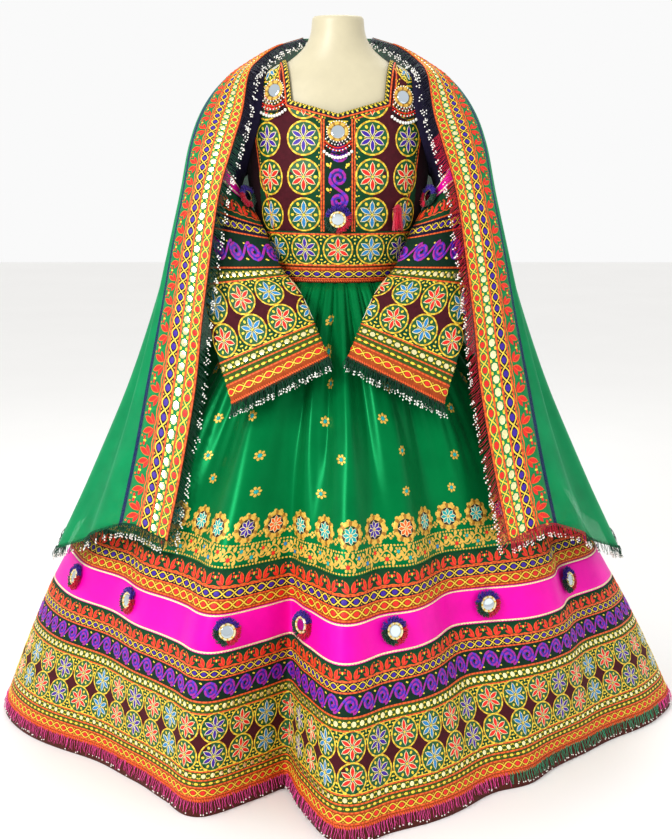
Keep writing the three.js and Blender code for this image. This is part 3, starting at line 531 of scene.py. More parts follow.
class Motif:
    """A small flat piece of needlework, drawn in millimetres with a height."""

    def __init__(self) -> None:
        """Start with nothing drawn."""
        self.points: list[tuple[float, float, float]] = []
        self.faces: list[list[int]] = []
        self.colours: list[str] = []
        self.shines: list[float] = []

    def patch(
        self, points: Sequence[tuple[float, float, float]], faces: Sequence[Sequence[int]],
        colours: Sequence[Thread], shine: float = 0.0,
    ) -> None:
        """Add faces, each with the next of the colours.

        Args:
            points: The corners.
            faces: The faces, as numbers of the corners.
            colours: The colours, in turn.
            shine: How metallic the thread is, from 0 to 1.
        """
        start = len(self.points)
        self.points.extend(points)
        for i, face in enumerate(faces):
            self.faces.append([start + corner for corner in face])
            self.colours.append(colours[i % len(colours)].value)
            self.shines.append(shine)

    def dome(
        self, x: float, y: float, wide: float, high: float, colour: Thread, lift: float = 0.25,
        rise: float = 0.8, sides: int = 7, turn: float = 0.0, shine: float = 0.0,
    ) -> None:
        """Add a round or oval blob of stitches, wide and high across.

        Args:
            x: Its middle.
            y: Its middle.
            wide: Its size along turn.
            high: Its size across turn.
            colour: Its colour.
            lift: How high its edge lies.
            rise: How far its middle stands above that.
            sides: How many sides it has.
            turn: How far it is turned.
            shine: How metallic the thread is.
        """
        cos, sin = math.cos(turn), math.sin(turn)
        ring = []
        for i in range(sides):
            angle = 2 * math.pi * i / sides
            a, b = wide / 2 * math.cos(angle), high / 2 * math.sin(angle)
            ring.append((x + a * cos - b * sin, y + a * sin + b * cos, lift))
        fan = [(sides, i, (i + 1) % sides) for i in range(sides)]
        self.patch([*ring, (x, y, lift + rise)], fan, [colour], shine)

    def disc(self, radius: float, colour: Thread, rings: int = 3, sides: int = 12) -> None:
        """Add a flat ground of stitches in rings, so that it bends with the cloth.

        Args:
            radius: Its radius.
            colour: Its colour.
            rings: How many rings it has.
            sides: How many sides.
        """
        points = [(0.0, 0.0, 0.3)]
        for k in range(1, rings + 1):
            points += [(x, y, 0.3) for x, y in circle(radius * k / rings, sides)]
        faces = [(0, 1 + i, 1 + (i + 1) % sides) for i in range(sides)]
        for k in range(rings - 1):
            a, b = 1 + k * sides, 1 + (k + 1) * sides
            faces += [(a + i, b + i, b + (i + 1) % sides, a + (i + 1) % sides) for i in range(sides)]
        self.patch(points, faces, [colour])

    def cord(
        self, path: Sequence[tuple[float, float]], width: float, colours: Sequence[Thread],
        lift: float = 0.15, rise: float = 0.9, closed: bool = False, shine: float = 0.0,
    ) -> None:
        """Add a couched cord along a path, ridged along its middle.

        Args:
            path: The points that it follows.
            width: Its width.
            colours: Its colours, in turn.
            lift: How high its edges lie.
            rise: How far its ridge stands above them.
            closed: Whether it joins up with its start.
            shine: How metallic the thread is.
        """
        line = np.array(path, float)
        if closed:
            ways = np.roll(line, -1, axis=0) - np.roll(line, 1, axis=0)
        else:
            ways = np.gradient(line, axis=0)
        side = unit(np.stack([-ways[:, 1], ways[:, 0]], -1)) * width / 2
        points = []
        for p, s in zip(line, side):
            points += [
                (p[0] - s[0], p[1] - s[1], lift), (p[0], p[1], lift + rise),
                (p[0] + s[0], p[1] + s[1], lift),
            ]
        count = len(line)
        faces = []
        for i in range(count if closed else count - 1):
            a, b = 3 * i, 3 * ((i + 1) % count)
            faces += [(a + k, b + k, b + k + 1, a + k + 1) for k in (0, 1)]
        self.patch(points, faces, [colour for colour in colours for _ in (0, 1)], shine)

    def petal(
        self, x: float, y: float, turn: float, start: float, end: float, width: float, colour: Thread,
        edge: Thread | None = None, steps: int = 4,
    ) -> None:
        """Add a pointed petal or leaf that lies from start to end along turn, with a stitched edge.

        Args:
            x: Where the flower's middle is.
            y: Where the flower's middle is.
            turn: The way it points.
            start: Where it starts, from the middle.
            end: Where it ends.
            width: Its width.
            colour: Its colour.
            edge: The colour of its stitched edge, if it has one.
            steps: How many steps each side has.
        """
        cos, sin = math.cos(turn), math.sin(turn)
        shares = [i / steps for i in range(steps + 1)]
        right = [(start + (end - start) * s, -width / 2 * math.sin(math.pi * s) ** 0.8) for s in shares]
        left = [(a, -b) for a, b in reversed(right[1:-1])]
        loop = [(x + a * cos - b * sin, y + a * sin + b * cos) for a, b in [*right, *left]]
        middle = (x + (start + end) / 2 * cos, y + (start + end) / 2 * sin, 1.0)
        fan = [(len(loop), i, (i + 1) % len(loop)) for i in range(len(loop))]
        self.patch([*((a, b, 0.5) for a, b in loop), middle], fan, [colour])
        if edge:
            self.cord(loop, 1.5, [edge], 0.4, 0.7, closed=True)

    def made(self, name: str) -> bpy.types.Object:
        """Build the drawing as an object outside the scene, coloured face by face.

        Args:
            name: The object's name.

        Returns:
            The object.
        """
        mesh = bpy.data.meshes.new(name)
        mesh.from_pydata([tuple(v * MM for v in p) for p in self.points], [], self.faces)
        mesh.polygons.foreach_set("use_smooth", [True] * len(mesh.polygons))
        sides = [len(face) for face in self.faces]
        colour = mesh.attributes.new("Thread", "FLOAT_COLOR", "CORNER")
        values = np.array([linear(code) for code in self.colours])
        colour.data.foreach_set("color", np.repeat(values, sides, axis=0).ravel())
        shine = mesh.attributes.new("Shine", "FLOAT", "CORNER")
        shine.data.foreach_set("value", np.repeat(self.shines, sides).astype(np.float32))
        return bpy.data.objects.new(name, mesh)


class Kind(Enum):
    """The motifs of the embroidery, numbered as the collection lists them."""

    MEDALLION_RED = 0
    MEDALLION_BLUE = 1
    MEDALLION_PURPLE = 2
    LINK_RED = 3
    LINK_PURPLE = 4
    CORD = 5
    RICKRACK = 6
    SCALLOP = 7
    SCROLL = 8
    SPANGLE = 9
    LEAF = 10
    OVAL = 11
    ROSETTE_TEAL = 12
    ROSETTE_PURPLE = 13
    ROSETTE_ORANGE = 14
    KNOT = 15
    VINE_TEAL = 16
    VINE_RED = 17
    VINE_BLUE = 18
    DOTS = 19
    FLOWER = 20
    SPANDREL = 21
    CHECK = 22
    WIDE_SCROLL = 23


def circle(radius: float, count: int, x: float = 0.0, y: float = 0.0) -> list[tuple[float, float]]:
    """List points round a circle.

    Args:
        radius: Its radius.
        count: How many points.
        x: Its middle.
        y: Its middle.

    Returns:
        The points.
    """
    turns = [2 * math.pi * i / count for i in range(count)]
    return [(x + radius * math.cos(turn), y + radius * math.sin(turn)) for turn in turns]


def walls(rings: int, sides: int) -> list[tuple[int, int, int, int]]:
    """List the faces between rings of points that follow each other.

    Args:
        rings: How many rings.
        sides: How many points a ring has.

    Returns:
        The faces, by point number.
    """
    faces = []
    for k in range(rings - 1):
        for i in range(sides):
            a, b = k * sides + i, k * sides + (i + 1) % sides
            faces.append((a, b, b + sides, a + sides))
    return faces


@dataclass(frozen=True)
class Needlework:
    """Draws every motif, each in its own size in millimetres."""

    radius: float = 28.0
    link: float = 18.0
    segment: float = 20.0

    def medallion(self, petals: Thread, edge: Thread) -> Motif:
        """Draw a ringed flower of six petals on green.

        Args:
            petals: The petals' colour.
            edge: The colour of their edges.

        Returns:
            The motif.
        """
        drawn = Motif()
        drawn.disc(self.radius - 2, Thread.GREEN)
        drawn.cord(circle(self.radius - 1.4, 22), 3.0, [Thread.YELLOW, Thread.STRAW], 0.4, closed=True)
        for i in range(6):
            turn = math.pi / 3 * (i + 0.5)
            drawn.petal(0, 0, turn, 2.5, 22, 7.5, petals, edge)
            side = turn + math.pi / 6
            x, y = 19.5 * math.cos(side), 19.5 * math.sin(side)
            drawn.dome(x, y, 6.5, 5, Thread.YELLOW, 0.45, turn=side, sides=6)
            drawn.dome(0.62 * x, 0.62 * y, 4, 2.2, Thread.STRAW, 0.45, 0.5, 5, side)
        drawn.dome(0, 0, 4.5, 4.5, Thread.YELLOW, 0.9, 0.6, 6)
        return drawn

    def chain(self, dot: Thread) -> Motif:
        """Draw a dot inside one link of two crossing waves.

        Args:
            dot: The dot's colour.

        Returns:
            The motif.
        """
        drawn = Motif()
        half = self.link / 2
        for side in (-1, 1):
            wave = [
                (x, side * 5.2 * math.cos(math.pi * x / self.link)) for x in np.linspace(-half, half, 7)
            ]
            drawn.cord(wave, 1.8, [Thread.YELLOW], 0.2, 0.7)
        drawn.dome(0, 0, 9.5, 7.0, dot, 0.3, 1.1, 8)
        for side in (-1, 1):
            drawn.dome(half, side * 4.6, 3.2, 2.6, Thread.STRAW, sides=5)
        return drawn

    def cord(self) -> Motif:
        """Draw a length of twisted orange cord."""
        drawn = Motif()
        half = self.segment / 2
        drawn.cord(
            [(x, 0) for x in np.linspace(-half, half, 6)], 3.2, [Thread.ORANGE, Thread.COPPER], rise=1.1,
        )
        return drawn

    def rickrack(self) -> Motif:
        """Draw a length of zigzag braid."""
        drawn = Motif()
        half = self.segment / 2
        path = [(x, 1.8 * (-1) ** i) for i, x in enumerate(np.linspace(-half, half, 9))]
        drawn.cord(path, 4.2, [Thread.ORANGE, Thread.COPPER], rise=1.0)
        return drawn

    def scallop(self) -> Motif:
        """Draw a length of scalloped cream braid."""
        drawn = Motif()
        half = self.segment / 2
        drawn.cord([(x, 0) for x in np.linspace(-half, half, 5)], 2.6, [Thread.CREAM], rise=0.8)
        for x in (-6.7, 0.0, 6.7):
            drawn.dome(x, -2.0, 5.2, 4.4, Thread.CREAM, 0.3, 1.0, 6)
        return drawn

    def scroll(self, ground: Thread) -> Motif:
        """Draw one wave of a running scroll that curls into a spiral.

        Args:
            ground: The colour under the spiral.

        Returns:
            The motif.
        """
        drawn = Motif()
        start, first, second, end = np.array([(-36, -15), (-24, -18), (-16, 15), (0, 15)], float)
        path = [
            tuple(u**3 * start + 3 * t * u**2 * first + 3 * t * t * u * second + t**3 * end)
            for t, u in ((t, 1 - t) for t in np.linspace(0, 1, 9)[:-1])
        ]
        for t in np.linspace(0, 1, 19):
            angle = math.pi / 2 - 9.6 * t
            radius = 15 - 12 * t
            path.append((radius * math.cos(angle), radius * math.sin(angle)))
        drawn.cord(circle(8.2, 10), 9.0, [ground], 0.2, 0.3, closed=True)
        drawn.cord(path, 4.4, [Thread.PLUM, Thread.PLUM, Thread.VIOLET], 0.35, rise=1.1)
        for x, y in ((-19, 13), (17, -13), (19, 14)):
            drawn.dome(x, y, 5, 3.4, Thread.YELLOW, sides=5)
        return drawn

    def spangle(self) -> Motif:
        """Draw a sequin held by four small stitches."""
        drawn = Motif()
        drawn.dome(0, 0, 9.5, 9.5, Thread.SPANGLE, 0.5, 1.1, 7, shine=1.0)
        for x, y in ((-7, 4), (7, 4), (-7, -4), (7, -4)):
            drawn.dome(x, y, 5, 3, Thread.YELLOW, sides=5, turn=math.atan2(y, x))
        return drawn

    def leaf(self) -> Motif:
        """Draw a spray of red leaves on an orange stem."""
        drawn = Motif()
        for side in (-1, 1):
            drawn.petal(side * 3, -9, math.radians(90 - side * 22), 0, 20, 7.5, Thread.RED, Thread.ORANGE)
            drawn.petal(side * 3, -10, math.radians(90 - side * 62), 0, 16, 6.5, Thread.RED, None)
            drawn.dome(side * 17, 4, 6, 5, Thread.RED, sides=6)
            drawn.dome(side * 15, 10, 4, 4, Thread.ORANGE, sides=5)
        drawn.cord([(x, -12 + math.cos(x / 3.3)) for x in np.linspace(-21, 21, 9)], 2.0, [Thread.ORANGE])
        drawn.dome(21, 3, 4, 7, Thread.YELLOW, sides=5)
        return drawn

    def oval(self) -> Motif:
        """Draw a yellow oval."""
        drawn = Motif()
        drawn.dome(0, 0, 9, 5.5, Thread.YELLOW, rise=1.1, sides=7)
        drawn.dome(7, 0, 2.6, 2.6, Thread.ORANGE, sides=5)
        return drawn

    def rosette(self, petals: Thread) -> Motif:
        """Draw a braided gold ring round a small flower.

        Args:
            petals: The petals' colour.

        Returns:
            The motif.
        """
        drawn = Motif()
        drawn.disc(19, Thread.BLACK, 2, 11)
        drawn.cord(
            circle(22.5, 22), 9, [Thread.GOLD, Thread.GOLD, Thread.BRONZE], 0.4, 1.6, closed=True,
            shine=0.3,
        )
        for i in range(11):
            turn = 2 * math.pi * i / 11
            drawn.dome(
                27.5 * math.cos(turn), 27.5 * math.sin(turn), 6, 9, Thread.GOLD, turn=turn, sides=6,
                shine=0.35,
            )
        for i in range(8):
            drawn.petal(0, 0, math.pi / 4 * i, 2, 17, 8.0, petals, Thread.CREAM, 3)
        drawn.dome(0, 0, 4, 4, Thread.GOLD, 0.8, 0.8, 6)
        return drawn

    def knot(self) -> Motif:
        """Draw a small gold knot."""
        drawn = Motif()
        for x, y in ((-4, 0), (4, 0), (0, 4), (0, -4)):
            drawn.dome(x, y, 6, 5, Thread.GOLD, sides=6, shine=0.35)
        return drawn

    def vine(self, middle: Thread) -> Motif:
        """Draw a gold vine with leaves and one flower.

        Args:
            middle: The colour of the flowers' middles.

        Returns:
            The motif.
        """
        drawn = Motif()
        stem = [(x, 9 * math.sin(math.pi * x / 24)) for x in np.linspace(-24, 24, 11)]
        drawn.cord(stem, 3.0, [Thread.GOLD], shine=0.3)
        leaves = (
            (-22, -6, 250), (-19, -4, 20), (-3, -9, 40), (-4, -3, 100), (4, 5, 130), (8, 9, 60),
            (21, 6, 80), (20, 2, 300),
        )
        for x, y, turn in leaves:
            drawn.petal(x, y, math.radians(turn), 0, 12, 7.5, Thread.GOLD, None, 3)
        for x, y, size in ((12, -6, 1.15), (-12, 7, 1.0)):
            for i in range(6):
                turn = math.pi / 3 * i
                drawn.dome(
                    x + 6 * size * math.cos(turn), y + 6 * size * math.sin(turn), 6 * size, 5 * size,
                    Thread.GOLD, sides=5, turn=turn, shine=0.3,
                )
            drawn.dome(x, y, 7 * size, 7 * size, middle, 0.4, 1.0, 7)
        return drawn

    def dots(self) -> Motif:
        """Draw a length of beaded gold line."""
        drawn = Motif()
        for x in (-6.7, 0.0, 6.7):
            drawn.dome(x, 0, 5.0, 4.2, Thread.GOLD, rise=1.2, sides=6, shine=0.35)
        return drawn

    def flower(self) -> Motif:
        """Draw a gold flower with a teal middle."""
        drawn = Motif()
        for i in range(7):
            turn = 2 * math.pi * i / 7
            drawn.dome(
                7.5 * math.cos(turn), 7.5 * math.sin(turn), 7.6, 6, Thread.GOLD, sides=6, turn=turn,
                shine=0.4,
            )
        drawn.dome(0, 0, 8.5, 8.5, Thread.TEAL, 0.4, 1.1, 8)
        return drawn

    def spandrel(self) -> Motif:
        """Draw the yellow filling between two medallions, widest at the top."""
        drawn = Motif()
        for x, y, wide, turn in (
            (0, -8, 6, 90), (0, 1, 8, 0), (-8, 7, 8, 35), (8, 7, 8, -35), (-16, 11, 8, 20),
            (16, 11, 8, -20), (0, 10, 7, 90),
        ):
            drawn.dome(x, y, wide, 4, Thread.YELLOW, turn=math.radians(turn), sides=6)
        drawn.cord([(-22, 14), (-10, 14.5), (0, 14), (10, 14.5), (22, 14)], 2.4, [Thread.YELLOW])
        return drawn

    def check(self) -> Motif:
        """Draw one yellow block of the neck binding's checks."""
        drawn = Motif()
        drawn.dome(0, 0, 5.4, 6.4, Thread.YELLOW, 0.3, 0.7, 4, math.pi / 4)
        return drawn

    def collection(self) -> bpy.types.Collection:
        """Draw all the motifs into one collection, in the order of Kind.

        Returns:
            The collection.
        """
        red, blue, purple, teal = Thread.RED, Thread.BLUE, Thread.PURPLE, Thread.TEAL
        drawings = [self.medallion(thread, Thread.CREAM) for thread in (red, blue, purple)]
        drawings += [self.chain(thread) for thread in (red, purple)]
        drawings += [self.cord(), self.rickrack(), self.scallop(), self.scroll(purple), self.spangle()]
        drawings += [self.leaf(), self.oval()]
        drawings += [self.rosette(thread) for thread in (teal, purple, Thread.ORANGE)]
        drawings += [self.knot()]
        drawings += [self.vine(thread) for thread in (teal, red, blue)]
        drawings += [self.dots(), self.flower(), self.spandrel(), self.check(), self.scroll(Thread.INDIGO)]
        shelf = bpy.data.collections.new("motifs")
        for kind, drawn in zip(Kind, drawings, strict=True):
            shelf.objects.link(drawn.made(f"motif_{kind.value:02d}"))
        return shelf


def geometry_tree(name: str, inputs: dict[str, str]) -> tuple[bpy.types.NodeTree, bpy.types.Node]:
    """Start a Geometry Nodes tree.

    Args:
        name: The tree's name.
        inputs: The socket type of each named input.

    Returns:
        The tree and its input node.
    """
    tree = bpy.data.node_groups.new(name, "GeometryNodeTree")
    tree.interface.new_socket("Geometry", in_out="OUTPUT", socket_type="NodeSocketGeometry")
    tree.interface.new_socket("Geometry", in_out="INPUT", socket_type="NodeSocketGeometry")
    for socket, kind in inputs.items():
        tree.interface.new_socket(socket, in_out="INPUT", socket_type=kind)
    return tree, add_node(tree, "NodeGroupInput")


def instances(
    tree: bpy.types.NodeTree, given: bpy.types.Node, rotation: bpy.types.NodeSocket
) -> bpy.types.NodeSocket:
    """Set the shape that each point's Kind names on the point, in its Size, and make it real.

    Args:
        tree: The tree.
        given: Its input node.
        rotation: How each shape is turned.

    Returns:
        The real shapes.
    """
    shapes = add_node(
        tree, "GeometryNodeCollectionInfo", {"Separate Children": True, "Reset Children": True},
        {"Collection": given.outputs["Shapes"]},
    )
    kind = add_node(tree, "GeometryNodeInputNamedAttribute", {"data_type": "INT", "Name": "Kind"})
    size = add_node(tree, "GeometryNodeInputNamedAttribute", {"data_type": "FLOAT_VECTOR", "Name": "Size"})
    on_points = add_node(
        tree,
        "GeometryNodeInstanceOnPoints",
        {"Pick Instance": True},
        {
            "Points": given.outputs["Geometry"],
            "Instance": shapes.outputs["Instances"],
            "Instance Index": kind.outputs["Attribute"],
            "Rotation": rotation,
            "Scale": size.outputs["Attribute"],
        },
    )
    return add_node(
        tree, "GeometryNodeRealizeInstances", {}, {"Geometry": on_points.outputs["Instances"]},
    ).outputs["Geometry"]


def finished(
    tree: bpy.types.NodeTree, given: bpy.types.Node, geometry: bpy.types.NodeSocket
) -> bpy.types.NodeTree:
    """End a tree with its material.

    Args:
        tree: The tree.
        given: Its input node.
        geometry: What it has made.

    Returns:
        The tree.
    """
    coated = add_node(
        tree, "GeometryNodeSetMaterial", {}, {"Geometry": geometry, "Material": given.outputs["Finish"]}
    )
    add_node(tree, "NodeGroupOutput", {}, {"Geometry": coated.outputs["Geometry"]})
    return tree


def spun(tree: bpy.types.NodeTree) -> bpy.types.NodeSocket:
    """Turn each shape about its own axis by the point's Turn.

    Args:
        tree: The tree that the nodes go in.

    Returns:
        The socket that gives the rotation.
    """
    turn = add_node(tree, "GeometryNodeInputNamedAttribute", {"data_type": "FLOAT", "Name": "Turn"})
    euler = add_node(tree, "ShaderNodeCombineXYZ", {}, {"Z": turn.outputs["Attribute"]})
    rotation = add_node(tree, "FunctionNodeEulerToRotation", {}, {"Euler": euler.outputs["Vector"]})
    return rotation.outputs["Rotation"]


def wrapping_tree() -> bpy.types.NodeTree:
    """Build the tree that sets motifs on the flat cloth and then lays them on its folds.

    A motif's x and y are distances on the flat cloth and its z is a height above it. What falls off the edge
    of the cloth is cut away.
    """
    tree, given = geometry_tree(
        "embroider",
        {
            "Shapes": "NodeSocketCollection",
            "Cloth": "NodeSocketObject",
            "Lift": "NodeSocketFloat",
            "Finish": "NodeSocketMaterial",
        },
    )
    flat = instances(tree, given, spun(tree))
    cloth = add_node(
        tree, "GeometryNodeObjectInfo", {}, {"Object": given.outputs["Cloth"]},
    ).outputs["Geometry"]
    uv = add_node(tree, "GeometryNodeInputNamedAttribute", {"data_type": "FLOAT_VECTOR", "Name": "Flat"})
    place = add_node(tree, "GeometryNodeInputPosition").outputs["Position"]
    outward = add_node(
        tree, "GeometryNodeInputNamedAttribute", {"data_type": "FLOAT_VECTOR", "Name": "Outward"},
    )
    samples = [
        add_node(
            tree, "GeometryNodeSampleUVSurface", {"data_type": "FLOAT_VECTOR"},
            {"Mesh": cloth, "Value": value, "Source UV Map": uv.outputs["Attribute"], "Sample UV": place},
        )
        for value in (place, outward.outputs["Attribute"])
    ]
    off = add_node(
        tree, "FunctionNodeBooleanMath", {"operation": "NOT"}, {0: samples[0].outputs["Is Valid"]},
    )
    kept = add_node(
        tree, "GeometryNodeDeleteGeometry", {}, {"Geometry": flat, "Selection": off.outputs["Boolean"]},
    )
    height = add_node(tree, "ShaderNodeSeparateXYZ", {}, {"Vector": place})
    total = add_node(tree, "ShaderNodeMath", {}, {0: height.outputs["Z"], 1: given.outputs["Lift"]})
    rise = add_node(
        tree, "ShaderNodeVectorMath", {"operation": "SCALE"},
        {0: samples[1].outputs["Value"], "Scale": total.outputs[0]},
    )
    on_cloth = add_node(
        tree, "ShaderNodeVectorMath", {}, {0: samples[0].outputs["Value"], 1: rise.outputs["Vector"]},
    )
    laid = add_node(
        tree, "GeometryNodeSetPosition", {},
        {"Geometry": kept.outputs["Geometry"], "Position": on_cloth.outputs["Vector"]},
    )
    return finished(tree, given, laid.outputs["Geometry"])


def standing_tree() -> bpy.types.NodeTree:
    """Build the tree that stands shapes on points, each with its own axis along the point's Facing."""
    tree, given = geometry_tree("stand", {"Shapes": "NodeSocketCollection", "Finish": "NodeSocketMaterial"})
    facing = add_node(
        tree, "GeometryNodeInputNamedAttribute", {"data_type": "FLOAT_VECTOR", "Name": "Facing"},
    )
    aligned = add_node(
        tree, "FunctionNodeAlignRotationToVector", {"axis": "Z"},
        {"Rotation": spun(tree), "Vector": facing.outputs["Attribute"]},
    )
    return finished(tree, given, instances(tree, given, aligned.outputs["Rotation"]))


@dataclass
class Layout:
    """Where shapes go: a point for each, with its kind, turn, size and, off the cloth, the way it faces."""

    places: list[tuple[float, float, float]] = field(default_factory=list)
    kinds: list[int] = field(default_factory=list)
    turns: list[float] = field(default_factory=list)
    sizes: list[tuple[float, float, float]] = field(default_factory=list)
    facings: list[tuple[float, float, float]] = field(default_factory=list)

    def put(
        self, kind: int, place: Sequence[float], turn: float = 0.0, size: Sequence[float] = (1, 1, 1),
        facing: Sequence[float] = (0, 0, 1),
    ) -> None:
        """Add one shape at a place in millimetres.

        Args:
            kind: The shape's number.
            place: Where it goes.
            turn: Its turn about its own axis.
            size: Its scale.
            facing: The way its axis points, off the cloth.
        """
        self.places.append(tuple(float(v) * MM for v in place))
        self.kinds.append(kind)
        self.turns.append(turn)
        self.sizes.append(tuple(float(v) for v in size))
        self.facings.append(tuple(float(v) for v in facing))

    def row(
        self, kinds: Sequence[Kind], at: float, pitch: float, start: float, end: float, own: float = 0.0,
        high: float = 1.0, turn: float = 0.0, upright: bool = False, tall: float = 0.0,
    ) -> None:
        """Add a row of motifs, as many as fit, with the first kind in the middle.

        Args:
            kinds: The motifs, in turn.
            at: Where the row lies across its direction, in millimetres.
            pitch: About how far apart the motifs are.
            start: Where the row starts.
            end: Where it ends.
            own: The motif's own length where it is stretched to meet the next, or 0.
            high: How far it is scaled.
            turn: How far it is turned from the row.
            upright: Whether the row runs up the cloth.
            tall: How far it is scaled across the row, where that differs.
        """
        half = max(0, round(((end - start) / pitch - 1) / 2))
        count = 2 * half + 1
        step = (end - start) / count
        size = (step / own if own else high, tall or high, min(tall or high, 1.2))
        for i in range(count):
            along = start + (i + 0.5) * step
            place = (at, along, 0) if upright else (along, at, 0)
            kind = kinds[(i - half) % len(kinds)]
            self.put(kind.value, place, turn + (math.pi / 2 if upright else 0), size)

    def rounds(self, length: float, *rows: tuple[Kind, float, float, float, float]) -> None:
        """Add rows that run all the way round.

        Args:
            length: The distance round.
            rows: Each row's motif, place, pitch, own length where it is stretched, and scale.
        """
        for kind, at, pitch, own, high in rows:
            self.row([kind], at, pitch, 0, length, own, high)

    def between(
        self, kind: Kind, at: float, pitch: float, length: float, turn: float, size: Sequence[float]
    ) -> None:
        """Fill the gaps of a row that runs all the way round.

        Args:
            kind: The motif.
            at: Where the row lies.
            pitch: The row's pitch.
            length: The distance round.
            turn: How far the motif is turned.
            size: Its scale.
        """
        count = 2 * max(0, round((length / pitch - 1) / 2)) + 1
        for i in range(1, count):
            self.put(kind.value, (i * length / count, at, 0), turn, size)

    def path(self, kind: Kind, points: Sequence[tuple[float, float]], own: float) -> None:
        """Lay lengths of cord end to end along a path on the flat.

        Args:
            kind: The cord.
            points: The path.
            own: The cord's own length.
        """
        for (x0, y0), (x1, y1) in zip(points, points[1:]):
            length = math.hypot(x1 - x0, y1 - y0)
            count = max(1, round(length / own))
            for i in range(count):
                t = (i + 0.5) / count
                place = (x0 + (x1 - x0) * t, y0 + (y1 - y0) * t, 0)
                self.put(kind.value, place, math.atan2(y1 - y0, x1 - x0), (length / count / own, 1, 1))

    def baked(self, name: str, tree: bpy.types.NodeTree, inputs: dict[str, object]) -> bpy.types.Object:
        """Run a tree on the points and keep the result as a plain mesh.

        Args:
            name: The piece's name.
            tree: The Geometry Nodes tree.
            inputs: Its named inputs.

        Returns:
            The new object, in the scene.
        """
        mesh = bpy.data.meshes.new(name)
        mesh.from_pydata(self.places, [], [])
        columns = (
            ("Kind", "INT", "value", self.kinds), ("Turn", "FLOAT", "value", self.turns),
            ("Size", "FLOAT_VECTOR", "vector", self.sizes),
            ("Facing", "FLOAT_VECTOR", "vector", self.facings),
        )
        for label, kind, key, values in columns:
            dtype = np.int32 if kind == "INT" else np.float32
            attribute = mesh.attributes.new(label, kind, "POINT")
            attribute.data.foreach_set(key, np.asarray(values, dtype).ravel())
        piece = bpy.data.objects.new(name, mesh)
        bpy.context.scene.collection.objects.link(piece)
        modifier = piece.modifiers.new("Nodes", "NODES")
        modifier.node_group = tree
        for item in tree.interface.items_tree:
            if item.in_out == "INPUT" and item.name in inputs:
                modifier[item.identifier] = inputs[item.name]
        graph = bpy.context.evaluated_depsgraph_get()
        made = bpy.data.meshes.new_from_object(
            piece.evaluated_get(graph), preserve_all_data_layers=True, depsgraph=graph
        )
        piece.modifiers.remove(modifier)
        piece.data = made
        made.name = name
        return piece


class Workshop:
    """Holds the trees and the shapes, and makes pieces with them."""

    def __init__(self) -> None:
        """Draw the motifs and build the trees."""
        self.motifs = Needlework().collection()
        self.embroider = wrapping_tree()
        self.stand = standing_tree()
        self.strands = Strand.collection()

    def embroidery(
        self, name: str, layout: Layout, cloth: bpy.types.Object, lift: float = 0.0
    ) -> bpy.types.Object:
        """Lay motifs on a cloth and fix them to the part.

        Args:
            name: The piece's name.
            layout: Where the motifs go.
            cloth: The cloth.
            lift: A height above it.

        Returns:
            The embroidery.
        """
        inputs = {"Shapes": self.motifs, "Cloth": cloth, "Lift": lift * MM, "Finish": EMBROIDERY.material()}
        return worn(layout.baked(name, self.embroider, inputs), "embroidery")

    def standing(
        self, name: str, layout: Layout, finish: Finish, slot: str, *nodes: str
    ) -> bpy.types.Object:
        """Stand strands or beads on points and fix them to the part.

        Args:
            name: The piece's name.
            layout: Where the shapes go.
            finish: Its finish.
            slot: The record's material slot.
            nodes: The CAD nodes that it replaces.

        Returns:
            The piece.
        """
        inputs = {"Shapes": self.strands, "Finish": finish.material()}
        return worn(layout.baked(name, self.stand, inputs), slot, *nodes)

    def put_away(self) -> None:
        """Remove the shapes and trees that the pieces were made with."""
        for shelf in (self.motifs, self.strands):
            for shape in list(shelf.objects):
                bpy.data.objects.remove(shape)
            bpy.data.collections.remove(shelf)
        for tree in (self.embroider, self.stand):
            bpy.data.node_groups.remove(tree)


